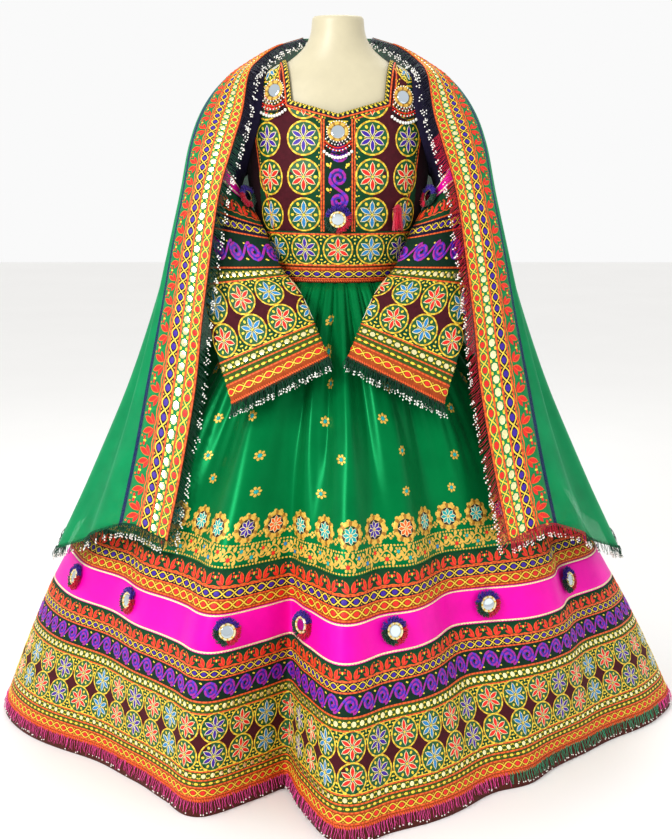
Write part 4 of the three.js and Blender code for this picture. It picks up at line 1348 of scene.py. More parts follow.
class Strand(Enum):
    """Shapes that stand on points, numbered as the collection lists them."""

    FRINGE_PINK = 0
    FRINGE_GREEN = 1
    FRINGE_NAVY = 2
    FRINGE_CRIMSON = 3
    WOOL_NAVY = 4
    WOOL_TEAL = 5
    WOOL_CRIMSON = 6
    BEAD_WHITE = 7
    BEAD_BLACK = 8
    BEAD_RED = 9
    RIM = 10
    PICOT_RIM = 11
    BARE_GREEN = 12
    BARE_CRIMSON = 13
    BARE_NAVY = 14
    BARE_PINK = 15
    FRINGE_MINT = 16
    BARE_MINT = 17

    @classmethod
    def collection(cls) -> bpy.types.Collection:
        """Build every strand and bead into one collection.

        Returns:
            The collection.
        """
        drawings = {
            cls.FRINGE_PINK: strand(Thread.PINK, 0.6, 28, 1.0, 1),
            cls.FRINGE_GREEN: strand(Thread.BOTTLE, 0.6, 28, -1.4, 2),
            cls.FRINGE_NAVY: strand(Thread.NAVY, 0.6, 28, 1.2, 2),
            cls.FRINGE_CRIMSON: strand(Thread.CRIMSON, 0.6, 28, -1.0, 2),
            cls.WOOL_NAVY: strand(Thread.PURPLE, 1.0, 12, 0.8, 0),
            cls.WOOL_TEAL: strand(Thread.BOTTLE, 1.0, 12, -0.8, 0),
            cls.WOOL_CRIMSON: strand(Thread.CRIMSON, 1.0, 12, 0.6, 0),
            cls.BEAD_WHITE: bead(Thread.WHITE),
            cls.BEAD_BLACK: bead(Thread.BLACK),
            cls.BEAD_RED: bead(Thread.RED),
            cls.RIM: rim(Thread.CREAM, Thread.GOLD, 15.0, 2.2, 0),
            cls.PICOT_RIM: rim(Thread.GOLD, Thread.BRONZE, 18.0, 3.4, 26),
            cls.BARE_GREEN: strand(Thread.BOTTLE, 0.6, 26, 2.0, 0),
            cls.BARE_CRIMSON: strand(Thread.CRIMSON, 0.6, 26, -2.0, 0),
            cls.BARE_NAVY: strand(Thread.NAVY, 0.6, 26, 1.6, 0),
            cls.BARE_PINK: strand(Thread.PINK, 0.6, 26, -1.6, 0),
            cls.FRINGE_MINT: strand(Thread.MINT, 0.6, 28, -1.4, 1),
            cls.BARE_MINT: strand(Thread.MINT, 0.6, 26, 1.8, 0),
        }
        shelf = bpy.data.collections.new("strands")
        for kind in cls:
            shelf.objects.link(drawings[kind].made(f"strand_{kind.value:02d}"))
        return shelf


def tube(
    drawn: Motif, path: Sequence[Sequence[float]], radii: Sequence[float], colours: Sequence[Thread],
    sides: int = 3, shine: float = 0.0,
) -> None:
    """Add a closed tube along a path that runs mostly along z.

    Args:
        drawn: The drawing that it goes in.
        path: Its middle line.
        radii: Its radius at each point.
        colours: Its colours, in turn.
        sides: How many sides it has.
        shine: How metallic it is.
    """
    points = []
    for (x, y, z), radius in zip(path, radii):
        points += [(a, b, z) for a, b in circle(radius, sides, x, y)]
    last = (len(path) - 1) * sides
    ends = [tuple(range(sides))[::-1], tuple(range(last, last + sides))]
    drawn.patch(points, walls(len(path), sides) + ends, colours, shine)


def strand(colour: Thread, radius: float, length: float, bend: float, beads: int) -> Motif:
    """Draw a thread that stands along z, with white beads at its end.

    Args:
        colour: Its colour.
        radius: Its radius.
        length: Its length.
        bend: How far it bows.
        beads: How many beads it has.

    Returns:
        The drawing.
    """
    drawn = Motif()
    steps = np.linspace(0, 1, 5 if beads else 4)
    path = [
        (bend * math.sin(math.pi * t), bend * 0.6 * math.sin(2.2 * math.pi * t), length * t) for t in steps
    ]
    tube(drawn, path, [radius * (1 - 0.25 * t) for t in steps], [colour])
    for i in range(beads):
        x, y, z = path[-1] if i == 0 else path[-2]
        if i:
            x, y, z = x + 0.8, y, z + 1.5
        tube(
            drawn, [(x, y, z - 1.9), (x, y, z - 0.4), (x, y, z + 1.6)], [0.6, 1.9, 0.5], [Thread.WHITE], 5,
            0.15,
        )
    return drawn


def bead(colour: Thread) -> Motif:
    """Draw a round glass bead 4 mm across.

    Args:
        colour: Its colour.

    Returns:
        The drawing.
    """
    drawn = Motif()
    tube(
        drawn, [(0, 0, -1.9), (0, 0, -1.1), (0, 0, 1.1), (0, 0, 1.9)], [0.7, 1.8, 1.8, 0.7], [colour], 7,
        0.2,
    )
    return drawn


def rim(light: Thread, dark: Thread, radius: float, width: float, picots: int) -> Motif:
    """Draw the buttonholed rim of a mirror, with a ring of small beads where picots asks for it.

    Args:
        light: The colour of most stitches.
        dark: The colour of every third.
        radius: Its radius.
        width: Half its width.
        picots: How many small beads.

    Returns:
        The drawing.
    """
    drawn = Motif()
    drawn.cord(circle(radius, 26), 2 * width, [light, light, dark], 0.2, 2.6, closed=True, shine=0.15)
    for x, y in circle(radius + width + 1.2, picots) if picots else ():
        drawn.dome(x, y, 3.0, 3.0, Thread.WHITE, 0.4, 1.6, 6, shine=0.15)
    return drawn


@dataclass
class DressForm:
    """The cream torso that the gown hangs on, and its steel stand."""

    sides: int = 72
    figure: tuple[tuple[float, ...], ...] = (
        (750, 138, 92, 102), (768, 157, 107, 119), (808, 161, 111, 124), (888, 150, 108, 118),
        (968, 128, 95, 100), (1028, 122, 92, 92), (1098, 134, 104, 96), (1158, 150, 122, 102),
        (1208, 162, 134, 106), (1248, 170, 130, 107), (1288, 178, 118, 105), (1328, 183, 104, 100),
        (1363, 183, 92, 92), (1388, 174, 83, 85), (1408, 152, 76, 78), (1423, 128, 70, 72),
        (1438, 103, 64, 68), (1458, 78, 60, 64), (1478, 63, 57, 60), (1498, 56, 55, 56),
        (1524, 53, 53, 53), (1528, 50, 50, 50),
    )

    def make(self, frame: dict) -> None:
        """Build the torso and finish the stand.

        Args:
            frame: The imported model.
        """
        wide, front, back = tracks(self.figure)
        heights = between([row[0] for row in self.figure], 7)
        turns = np.linspace(0, 2 * math.pi, self.sides + 1)
        rings = []
        for z in heights:
            depth = np.where(np.cos(turns) > 0, front(z), back(z))
            rings.append(
                np.stack([wide(z) * np.sin(turns), -depth * np.cos(turns), np.full_like(turns, z)], -1)
            )
        points = np.array(rings)
        for end, height in ((points[0], 750.0), (points[-1], 1528.0)):
            caps = [
                np.stack([end[:, 0] * s, end[:, 1] * s, np.full(len(end), height)], -1)
                for s in (0.96, 0.6, 0.02)
            ]
            points = np.concatenate([caps[::-1], points]) if height < 1000 else np.concatenate([points, caps])
        torso = Cloth(points, points[..., :2].copy(), True).made("form_skin", FORM_SKIN)
        worn(torso, "form", "form_torso")
        for node in ("stand_pole", "stand_base"):
            piece = frame["nodes"][node]
            piece.data.materials.clear()
            piece.data.materials.append(STEEL.material())


@dataclass
class Bodice:
    """The gown's body: two panels, the neck binding, the placket and the two bands at the waist."""

    shop: Workshop
    lift: float = 3.0
    thick: float = 1.8
    trim_thick: float = 1.2
    waist_seam: float = 990.0
    trim_top: float = 1022.0
    band_top: float = 1095.0
    armhole_middle: float = 1311.0
    armhole_high: float = 100.0
    armhole_deep: float = 60.0
    neck_x: float = 106.0
    neck_corner: tuple[float, float] = (93.0, 1355.5)
    neck_bottom: float = 1328.0
    back_corner: tuple[float, float] = (88.0, 1424.0)
    back_bottom: float = 1412.0
    medallion: float = 1.26
    grounds: tuple[tuple[float, Dye], ...] = (
        (-178, Dye.WINE), (-146, Dye.FOREST), (-69, Dye.MAROON), (69, Dye.FOREST), (146, Dye.MAROON),
        (178, Dye.FOREST), (2000, Dye.WINE),
    )
    gown: tuple[tuple[float, ...], ...] = (
        (990, 146, 114, 107), (1022, 151, 118, 109), (1098, 163, 129, 113), (1158, 178, 144, 117),
        (1208, 186, 152, 119), (1248, 187, 142, 118), (1288, 187, 126, 111), (1328, 187, 108, 104),
        (1363, 185, 93, 93), (1388, 174, 83, 85), (1408, 152, 76, 78), (1423, 128, 70, 72),
        (1438, 103, 64, 68), (1458, 78, 60, 64),
    )

    def __post_init__(self) -> None:
        """Read the figure's table."""
        self.wide, self.front, self.back = tracks(self.gown)

    def skin(self, x: np.ndarray, z: np.ndarray, side: int) -> np.ndarray:
        """Return points on the figure, side -1 in front and 1 behind.

        Args:
            x: Across.
            z: Up.
            side: Which side.

        Returns:
            The points.
        """
        share = np.minimum(1, np.abs(x) / self.wide(z))
        depth = self.front(z) if side < 0 else self.back(z)
        return np.stack([x, side * depth * np.sqrt(1 - share**2), z + 0 * x], -1)

    def facing(self, points: np.ndarray) -> np.ndarray:
        """Return the way the figure faces at points.

        Args:
            points: The points.

        Returns:
            A unit vector for each.
        """
        x, y, z = np.moveaxis(points, -1, 0)

        def value(height: np.ndarray) -> np.ndarray:
            """Measure the points against the figure at a height, 1 where they lie on it."""
            depth = np.where(y < 0, self.front(height), self.back(height))
            return (x / self.wide(height)) ** 2 + (y / depth) ** 2

        rise = np.where(z < self.band_top + 1, 0, value(z + 0.5) - value(z - 0.5))
        depth = np.where(y < 0, self.front(z), self.back(z))
        return unit(np.stack([2 * x / self.wide(z) ** 2, 2 * y / depth**2, rise], -1))

    def arc(self, x: np.ndarray, z: np.ndarray, side: int) -> np.ndarray:
        """Return the distance along the cloth from its middle.

        Args:
            x: Across.
            z: Up.
            side: Which side.

        Returns:
            The distances.
        """
        share = np.arcsin(np.clip(x / self.wide(z), -1, 1))
        depth = self.front(z) if side < 0 else self.back(z)
        steps = np.linspace(0, 1, 24).reshape(-1, *([1] * share.ndim))
        speed = np.sqrt((self.wide(z) * np.cos(steps * share)) ** 2 + (depth * np.sin(steps * share)) ** 2)
        return share * speed.mean(axis=0)

    def ridge(self, x: float) -> float:
        """Return the height of the shoulder at a distance from the middle.

        Args:
            x: The distance.

        Returns:
            The height.
        """
        low, high = 1363.0, 1458.0
        for _ in range(30):
            middle = (low + high) / 2
            low, high = (middle, high) if self.wide(middle) > x else (low, middle)
        return low

    def side_at(self, y: float, z: float) -> float:
        """Return how far out the figure reaches at a depth and a height.

        Args:
            y: The depth.
            z: The height.

        Returns:
            The distance from the middle.
        """
        depth = self.front(z) if y < 0 else self.back(z)
        return float(self.wide(z) * math.sqrt(max(0.0, 1 - (y / depth) ** 2)))

    def top(self, share: float, side: int) -> tuple[float, float]:
        """Return where a column of a panel ends, as x and z.

        Args:
            share: The column, from 0 in the middle to 1 at the side.
            side: Which side.

        Returns:
            The place.
        """
        corner = self.neck_corner if side < 0 else self.back_corner
        bottom = self.neck_bottom if side < 0 else self.back_bottom
        if share >= 0.84:
            turn = math.radians(-90 + (1 - share) / 0.16 * 180)
            y = side * self.armhole_deep * math.cos(turn)
            z = self.armhole_middle + self.armhole_high * math.sin(turn)
            return self.side_at(y, z), z
        if share >= 0.54:
            far = self.side_at(0, self.armhole_middle + self.armhole_high)
            x = self.neck_x + (far - self.neck_x) * (share - 0.54) / 0.3
            return x, self.ridge(x)
        if share >= 0.5:
            t = (0.54 - share) / 0.04
            start = self.ridge(self.neck_x)
            return self.neck_x + (corner[0] - self.neck_x) * t, start - (start - corner[1]) * t * t
        t = share / 0.5
        return corner[0] * t, bottom + (corner[1] - bottom) * (t if side < 0 else t * t)

    def panel(self, side: int) -> Cloth:
        """Build the front or the back panel's outer face.

        Args:
            side: -1 for the front and 1 for the back.

        Returns:
            The cloth.
        """
        half = np.unique(
            np.concatenate(
                [
                    np.linspace(0, 0.5, 27), np.linspace(0.5, 0.54, 6), np.linspace(0.54, 0.84, 15),
                    np.linspace(0.84, 1, 16),
                ]
            )
        )
        shares = np.concatenate([-half[:0:-1], half]) * -side
        armpit = self.armhole_middle - self.armhole_high
        low = np.linspace(self.band_top + 0.15, armpit, 16)
        high = np.linspace(0, 1, 34)[1:]
        tops = np.array([self.top(abs(s), side) for s in shares])
        rows_x = [shares * self.wide(z) for z in low]
        rows_z = [np.full(len(shares), z) for z in low]
        for t in high:
            rise = 1 - (1 - t) ** 2
            start = np.abs(shares) * self.wide(armpit)
            rows_x.append(np.sign(shares) * (start + (tops[:, 0] - start) * rise))
            rows_z.append(armpit + (tops[:, 1] - armpit) * rise)
        x, z = np.array(rows_x), np.array(rows_z)
        points = self.skin(x, z, side)
        points = points + self.facing(points) * (self.lift + self.thick)
        points[..., 1] = side * np.maximum(side * points[..., 1], 0.15)
        return Cloth(points, np.stack([self.arc(x, z, side) * -side, z], -1))

    def ring(self, low: float, high: float) -> Cloth:
        """Build a band round the waist.

        Args:
            low: Its lower edge.
            high: Its upper edge.

        Returns:
            The cloth.
        """
        turns = np.linspace(-math.pi, math.pi, 145)
        heights = between([low + 0.15, high - 0.15], 8)[:, None]
        depth = np.where(np.cos(turns) > 0, self.front(heights), self.back(heights))
        points = np.stack(
            [self.wide(heights) * np.sin(turns), -depth * np.cos(turns), heights + 0 * turns], -1,
        )
        level = unit(
            points * [1, 1, 0] / np.stack(
                [self.wide(heights) ** 2 + 0 * turns, depth**2, np.ones_like(depth)], -1,
            )
        )
        points = points + level * (self.lift + self.thick)
        ring = points[len(points) // 2]
        return Cloth(points, grid(distances(ring), heights), True)

    def make(self) -> None:
        """Build and embroider the bodice."""
        sheet = {"held": "stretched", "rests_on": ["form_skin"]}
        for name, side in (("bodice_front", -1), ("bodice_back", 1)):
            cloth = self.panel(side).made(f"{name}_cloth", COTTON, self.grounds, 0)
            if side < 0:
                self.shop.embroidery("bodice_embroidery", self.front_layout(), cloth)
            else:
                self.shop.embroidery("bodice_back_embroidery", self.back_layout(), cloth)
            sewn(cloth, self.thick, "maroon", [name], flat=(0.44, 0.33), **sheet)
        self.neck()
        self.placket()
        band = self.ring(self.trim_top, self.band_top)
        piece = band.made("waist_band_cloth", COTTON, [(2000, Dye.FOREST)])
        length = float(band.flat[0, -1, 0])
        layout = Layout()
        colours = [Kind.MEDALLION_RED, Kind.MEDALLION_BLUE, Kind.MEDALLION_PURPLE]
        layout.row(colours, 1058.5, 68, 0, length, high=1.12)
        for at, turn in ((1078, 0.0), (1039, math.pi)):
            layout.between(Kind.SPANDREL, at, 68, length, turn, (0.85, 0.85, 1))
        layout.rounds(length, (Kind.CORD, 1026, 20, 20, 1.2), (Kind.CORD, 1090, 20, 20, 1.2))
        self.shop.embroidery("waist_band_embroidery", layout, piece)
        sewn(piece, self.thick, "embroidery", ["waist_band"], flat=(length * MM, 0.073), **sheet)
        trim = self.ring(self.waist_seam, self.trim_top)
        piece = trim.made(
            "waist_trim_cloth", COTTON, [(996, Dye.RUST), (1016, Dye.NIGHT), (1030, Dye.RUST)],
        )
        length = float(trim.flat[0, -1, 0])
        layout = Layout()
        layout.rounds(
            length, (Kind.LINK_PURPLE, 1008, 22, 18, 1.1), (Kind.CORD, 1018.5, 20, 20, 1.1),
            (Kind.CORD, 998.5, 20, 20, 0.9), (Kind.RICKRACK, 993.5, 20, 20, 0.9),
        )
        self.shop.embroidery("waist_trim_embroidery", layout, piece)
        sewn(piece, self.thick, "orange_trim", ["waist_trim"], flat=(length * MM, 0.032), **sheet)

    def front_layout(self) -> Layout:
        """Lay out the front panel's medallions, fillings and cords.

        Returns:
            The layout.
        """
        layout = Layout()
        rows = (
            (1131, Kind.MEDALLION_BLUE), (1206, Kind.MEDALLION_RED), (1281, Kind.MEDALLION_PURPLE),
            (1353, Kind.MEDALLION_RED),
        )
        big = self.medallion
        for side in (-1, 1):
            for z, kind in rows:
                layout.put(kind.value, (side * 69, z, 0), 0, (big, big, 1.2))
                outer = 146 if z < 1240 else 150
                layout.put(kind.value, (side * outer, z - 2, 0), 0, (big * 0.9, big, 1.2))
                layout.put(Kind.SPANDREL.value, (side * 36, z - 37, 0), side * math.pi / 2, (0.8, 0.7, 1))
            edge = [
                (side * 142, 1096), (side * 152, 1150), (side * 176, 1215), (side * 185, 1275),
                (side * 187, 1340), (side * 184, 1400),
            ]
            layout.path(Kind.CORD, edge, 20)
            layout.path(Kind.DOTS, [(x - side * 6, z) for x, z in edge], 20)
            layout.path(Kind.CORD, [(side * 33, 1096), (side * 33, 1330)], 20)
            for z in range(1108, 1330, 12):
                layout.put(Kind.CHECK.value, (side * 37.5, z, 0), 0, (0.5, 0.7, 0.8))
            layout.path(Kind.CORD, [(side * 36, 1318), (side * 84, 1337), (side * 108, 1345)], 20)
            layout.path(Kind.CORD, [(side * 112, 1345), (side * 118, 1380), (side * 124, 1420)], 20)
            layout.put(Kind.MEDALLION_BLUE.value, (side * 152, 1416, 0), 0, (0.9, 0.9, 1.2))
            for z in (1352, 1368, 1384, 1400, 1416, 1432):
                layout.put(Kind.SPANDREL.value, (side * (128 + 0.1 * (z - 1352)), z, 0), z, (0.7, 0.7, 1))
                layout.put(Kind.OVAL.value, (side * (168 - 0.2 * (z - 1352)), z, 0), side * 0.9)
        return layout

    def back_layout(self) -> Layout:
        """Lay out the plain cords of the back panel.

        Returns:
            The layout.
        """
        layout = Layout()
        for side in (-1, 1):
            layout.path(Kind.CORD, [(side * 118, 1096), (side * 138, 1215), (side * 138, 1400)], 20)
        return layout

    def neck(self) -> None:
        """Build the checked binding round the neckline."""
        width = 12.0
        half = np.concatenate([np.linspace(0.54, 0.5, 14), np.linspace(0.5, 0, 22)[1:]])
        shares = np.concatenate([-half, half[-2::-1]])
        start = self.ridge(self.neck_x)
        rows = []
        for out in (width, 0.66 * width, 0.33 * width, 0.0):
            line = []
            for s in shares:
                share = abs(s)
                x, z = self.top(share, -1)
                drop = (start - z) / (start - self.neck_corner[1])
                if share >= 0.5:
                    low = self.neck_corner[1] - out
                    x, z = x + out, self.ridge(self.neck_x + out) * (1 - drop) + low * drop
                else:
                    x, z = x + out * share / 0.5, z - out
                line.append((math.copysign(x, s), z))
            x, z = np.array(line).T
            line = self.skin(x, z, -1)
            line = line + self.facing(line) * (self.lift + self.thick + 0.9 + self.trim_thick)
            line[:, 1] = np.minimum(line[:, 1], -0.15)
            rows.append(line)
        points = np.array(rows)
        along = distances(points[1])
        cloth = Cloth(points, grid(along, np.linspace(0, width, 4)))
        piece = cloth.made("neck_binding", COTTON, [(4.1, Dye.PINE), (8.1, Dye.NIGHT), (20, Dye.MOSS)])
        layout = Layout()
        length = float(along[-1])
        layout.rounds(
            length, (Kind.CHECK, 7.2, 10.5, 0, 1), (Kind.CORD, 1.8, 20, 20, 0.9),
            (Kind.DOTS, 10.8, 20, 20, 0.5),
        )
        self.shop.embroidery("neck_embroidery", layout, piece)
        sheet = {"flat": (length * MM, width * MM), "held": "stretched", "rests_on": ["bodice_front_cloth"]}
        sewn(piece, self.trim_thick, "embroidery", ["neck_trim"], **sheet)

    def placket(self) -> None:
        """Build the scrolled strip down the middle of the front."""
        x = np.linspace(-31, 31, 17)
        z = between([self.band_top + 0.3, 1318], 8)[:, None]
        points = self.skin(x + 0 * z, z + 0 * x, -1)
        points = points + self.facing(points) * (self.lift + self.thick + 1.5)
        cloth = Cloth(points, grid(x, z))
        piece = cloth.made("placket_cloth", COTTON, [(2000, Dye.PINE)])
        layout = Layout()
        for height, turn, kind in (
            (1204, 0.0, Kind.WIDE_SCROLL), (1160, math.pi, Kind.SCROLL), (1250, math.pi, Kind.SCROLL),
        ):
            layout.put(kind.value, (1, height, 0), turn + math.pi / 2, (1.15, 1.15, 1))
        for side in (-1, 1):
            layout.path(Kind.CORD, [(side * 28, 1096), (side * 28, 1317)], 20)
            for height in (1182, 1228, 1272, 1300):
                layout.put(Kind.OVAL.value, (side * 20, height, 0), side * 0.9)
        layout.put(Kind.SPANDREL.value, (0, 1300, 0), 0, (0.9, 0.9, 1))
        self.shop.embroidery("placket_embroidery", layout, piece)
        sheet = {"flat": (0.062, 0.222), "held": "stretched", "rests_on": ["bodice_front_cloth"]}
        sewn(piece, self.trim_thick, "embroidery", ["front_placket"], **sheet)


@dataclass
class Skirt:
    """The full skirt: gathered satin, the leaf trim, the magenta stripe and the embroidered border."""

    shop: Workshop
    thick: float = 2.2
    high_at: float = 328.0
    low_at: float = 28.0
    drapes: int = 18
    gathers: int = 27
    columns: int = 560
    plan: tuple[tuple[float, ...], ...] = (
        (0, 757, 525, 500, 1), (28, 750, 520, 495, 1), (178, 685, 495, 465, 0.98), (328, 610, 460, 430, 0.95),
        (478, 525, 410, 385, 0.62), (628, 430, 345, 330, 0.36), (778, 325, 270, 258, 0.17),
        (878, 245, 203, 194, 0.07), (940, 186, 152, 144, 0.02), (990, 148, 116, 109, 0),
    )
    folds: tuple[tuple[float, ...], ...] = (
        (-180, 20, 30), (-163, -35, -45), (-147, 24, 34), (-130, -42, -55), (-113, 16, 26), (-92, 20, 5),
        (-73, -50, -90), (-62, -62, -118), (-50, -34, -88), (-38, 0, -32), (-28, 32, 12), (-21, -50, -78),
        (-15, -116, -137), (-8, -46, -40), (0, 52, 84), (10, 8, 48), (26, -60, -18), (38, -132, -78),
        (47, -128, -88), (57, -84, -124), (66, -82, -138), (76, -88, -120), (87, -30, -40), (97, 12, 27),
        (112, -36, -40), (128, 22, 32), (146, -40, -52), (163, 26, 36), (180, 20, 30),
    )
    pleats: tuple[tuple[float, ...], ...] = (
        (0, 0, 2), (328, 0, 4), (528, 0, 10), (678, 1, 12), (828, 5, 7), (940, 5.5, 2), (990, 3.2, 0),
    )

    def __post_init__(self) -> None:
        """Read the tables."""
        self.wide, self.front, self.back, self.share = tracks(self.plan)
        self.high, self.low = tracks(self.folds)
        self.gather, self.drape = tracks(self.pleats)

    def surface(self, angle: np.ndarray, z: np.ndarray) -> np.ndarray:
        """Return the cloth's inner face at angles from the front, in degrees, and heights.

        Args:
            angle: The angles.
            z: The heights.

        Returns:
            The points.
        """
        turn = np.radians(angle)
        depth = np.where(np.cos(turn) > 0, self.front(z), self.back(z))
        ellipse = 1 / np.hypot(np.sin(turn) / self.wide(z), np.cos(turn) / depth)
        low = np.clip((self.high_at - z) / (self.high_at - self.low_at), 0, 1)
        fold = ((1 - low) * self.high(angle) + low * self.low(angle)) * self.share(z)
        drape = self.drape(z) * np.sin(self.drapes * turn + 1.1 * np.sin(3 * turn) + 0.6 * np.sin(5 * turn))
        gather = self.gather(z) * np.sin(self.gathers * turn + 0.9 * np.sin(4 * turn))
        fine = smooth(560, 760, z) * (1 - smooth(900, 985, z)) * 2.2 * np.sin(
            61 * turn + 1.7 * np.sin(7 * turn) + 0.004 * z
        )
        tight = smooth(860, 950, z) * (1 - smooth(970, 990, z)) * 1.5 * np.sin(94 * turn + np.sin(9 * turn))
        radius = ellipse + fold + drape + gather + fine + tight
        return np.stack([radius * np.sin(turn), -radius * np.cos(turn), z + 0 * turn], -1)

    def length(self, z: float) -> float:
        """Return the distance round the skirt at a height."""
        ring = self.surface(np.linspace(-180, 180, 721), np.array(z))
        return float(np.linalg.norm(np.diff(ring, axis=0), axis=1).sum())

    def cloth(self, marks: Sequence[float], step: float) -> Cloth:
        """Build the outer face between the first and last of marks, with a row at each.

        Args:
            marks: The heights of the rows' seams.
            step: The most between two rows.

        Returns:
            The cloth.
        """
        heights = between(marks, step)
        angles = np.linspace(-180, 180, self.columns + 1)
        points = self.surface(angles + 0 * heights[:, None], heights[:, None] + 0 * angles)
        across = np.roll(points[:, :-1], -1, axis=1) - np.roll(points[:, :-1], 1, axis=1)
        across = np.concatenate([across, across[:, :1]], axis=1)
        level = unit(np.stack([across[..., 1], -across[..., 0], 0 * across[..., 0]], -1))
        points = points + level * self.thick
        return Cloth(points, grid(distances(points[len(points) // 2]), heights), True)

    def make(self) -> None:
        """Build the four pieces of the skirt and embroider them."""
        self.border()
        self.stripe()
        self.trim()
        self.satin()

    def finish(
        self, piece: bpy.types.Object, slot: str, node: str, flat: tuple[float, float], held: str,
        rests_on: str,
    ) -> None:
        """Give a piece its thickness, fix it to the part and hide the CAD node that it replaces.

        Args:
            piece: The cloth's face.
            slot: The record's slot.
            node: The CAD node that it replaces.
            flat: Its flat size.
            held: How it is held.
            rests_on: What it hangs from.
        """
        sewn(piece, self.thick, slot, [node], flat=flat, held=held, rests_on=[rests_on])

    def border(self) -> None:
        """Build the wide embroidered border at the hem."""
        dyes = [
            (28, Dye.HEM), (57, Dye.RUST), (88, Dye.MOSS), (116, Dye.FOREST), (172, Dye.MAROON),
            (199, Dye.FOREST),
        ]
        dyes += [(223, Dye.MOSS), (266, Dye.PINE), (285, Dye.NIGHT), (313, Dye.FOREST)]
        cloth = self.cloth([0, *(end for end, _ in dyes[:-1]), 312.85], 20)
        piece = cloth.made("border_cloth", COTTON, dyes)
        length = float(cloth.flat[0, -1, 0])
        layout = Layout()
        flowers = [Kind.MEDALLION_RED, Kind.MEDALLION_BLUE, Kind.MEDALLION_RED, Kind.MEDALLION_PURPLE]
        layout.rounds(
            length, (Kind.RICKRACK, 31, 20, 20, 1.1), (Kind.LINK_RED, 46, 19, 18, 1.2),
            (Kind.CORD, 37, 20, 20, 1), (Kind.CORD, 56.5, 20, 20, 1), (Kind.OVAL, 63.5, 14, 0, 1),
            (Kind.CORD, 70.5, 20, 20, 1), (Kind.SPANGLE, 79, 18, 0, 1), (Kind.CORD, 87.5, 20, 20, 1),
        )
        for at in (116, 172):
            layout.row(flowers, at, 62, 0, length, high=1.06)
        layout.between(Kind.SPANDREL, 187, 62, length, 0, (1, 0.8, 1))
        layout.between(Kind.SPANDREL, 101, 62, length, math.pi, (1, 0.8, 1))
        layout.rounds(
            length, (Kind.CORD, 199.5, 20, 20, 1.1), (Kind.SPANGLE, 211, 18, 0, 1.15),
            (Kind.CORD, 222.5, 20, 20, 1.1), (Kind.SCROLL, 244.5, 40, 40, 1), (Kind.CORD, 266, 20, 20, 1),
            (Kind.LINK_PURPLE, 275.5, 21, 18, 1.15), (Kind.CORD, 285, 20, 20, 1),
            (Kind.LEAF, 297.5, 42, 42, 0.92),
        )
        self.shop.embroidery("border_embroidery", layout, piece)
        self.finish(piece, "embroidery", "skirt_border", (length * MM, 0.345), "hung", "stripe_cloth")

    def stripe(self) -> None:
        """Build the magenta stripe with its two scalloped braids."""
        cloth = self.cloth([313.15, 385.85], 12)
        piece = cloth.made("stripe_cloth", TAFFETA)
        length = float(cloth.flat[0, -1, 0])
        layout = Layout()
        layout.row([Kind.SCALLOP], 316.5, 20, 0, length, 20, turn=0)
        layout.row([Kind.SCALLOP], 382.5, 20, 0, length, 20, turn=math.pi)
        self.shop.embroidery("stripe_braid", layout, piece)
        self.finish(piece, "magenta", "skirt_stripe", (length * MM, 0.08), "hung", "trim_cloth")

    def trim(self) -> None:
        """Build the leaf and dot trim above the stripe."""
        dyes = [(411, Dye.RUST), (433, Dye.NIGHT), (466, Dye.FOREST)]
        cloth = self.cloth([386.15, 411, 433, 465.35], 14)
        piece = cloth.made("trim_cloth", COTTON, dyes)
        length = float(cloth.flat[0, -1, 0])
        layout = Layout()
        layout.rounds(
            length, (Kind.CORD, 389.5, 20, 20, 1), (Kind.LINK_RED, 400.5, 24, 18, 1.35),
            (Kind.CORD, 411, 20, 20, 1), (Kind.LINK_PURPLE, 422, 24, 18, 1.35),
            (Kind.CORD, 433, 20, 20, 1), (Kind.LEAF, 448, 42, 42, 1.05),
        )
        self.shop.embroidery("trim_embroidery", layout, piece)
        self.finish(piece, "orange_trim", "skirt_trim", (length * MM, 0.088), "hung", "satin_cloth")

    def satin(self) -> None:
        """Build the gathered satin with its gold vine, rosettes and scattered flowers."""
        cloth = self.cloth([465.65, 989.85], 18)
        low = cloth.points[:10]
        along = distances(low[4])
        base = Cloth(low, grid(along, cloth.flat[:10, 0, 1]), True).made("satin_ground", SATIN)
        length = float(along[-1])
        layout = Layout()
        layout.row([Kind.DOTS], 469.5, 20, 0, length, 20)
        layout.row(
            [Kind.VINE_TEAL, Kind.VINE_RED, Kind.VINE_BLUE, Kind.VINE_RED], 488.5, 46, 0, length, 48, 1.05,
        )
        layout.row([Kind.DOTS], 507.5, 20, 0, length, 20)
        rosettes = [
            Kind.ROSETTE_TEAL, Kind.ROSETTE_TEAL, Kind.ROSETTE_PURPLE, Kind.ROSETTE_ORANGE,
            Kind.ROSETTE_TEAL,
        ]
        layout.row(rosettes, 537, 64, 0, length, high=0.96)
        layout.between(Kind.KNOT, 524, 64, length, 0, (1, 1, 1))
        self.shop.embroidery("satin_embroidery", layout, base)
        bpy.data.objects.remove(base)
        piece = cloth.made("satin_cloth", SATIN)
        middle = float(cloth.flat[0, -1, 0])
        layout = Layout()
        rng = np.random.default_rng(SEED)
        centre = 725.0
        for z, count in ((600, 17), (665, 16), (735, 14), (805, 12), (870, 9), (925, 6)):
            scale = self.length(centre) / self.length(z)
            for i in range(count):
                u = (i + 0.5 + rng.uniform(-0.2, 0.2) + 0.5 * (z % 2)) / count * (middle - 40) + 20
                layout.put(
                    Kind.FLOWER.value, (u, z + rng.uniform(-14, 14), 0), rng.uniform(0, 3), (scale, 0.9, 1),
                )
        self.shop.embroidery("satin_flowers", layout, piece)
        self.finish(piece, "satin", "skirt_satin", (2.35, 0.6), "gathered", "form_skin")


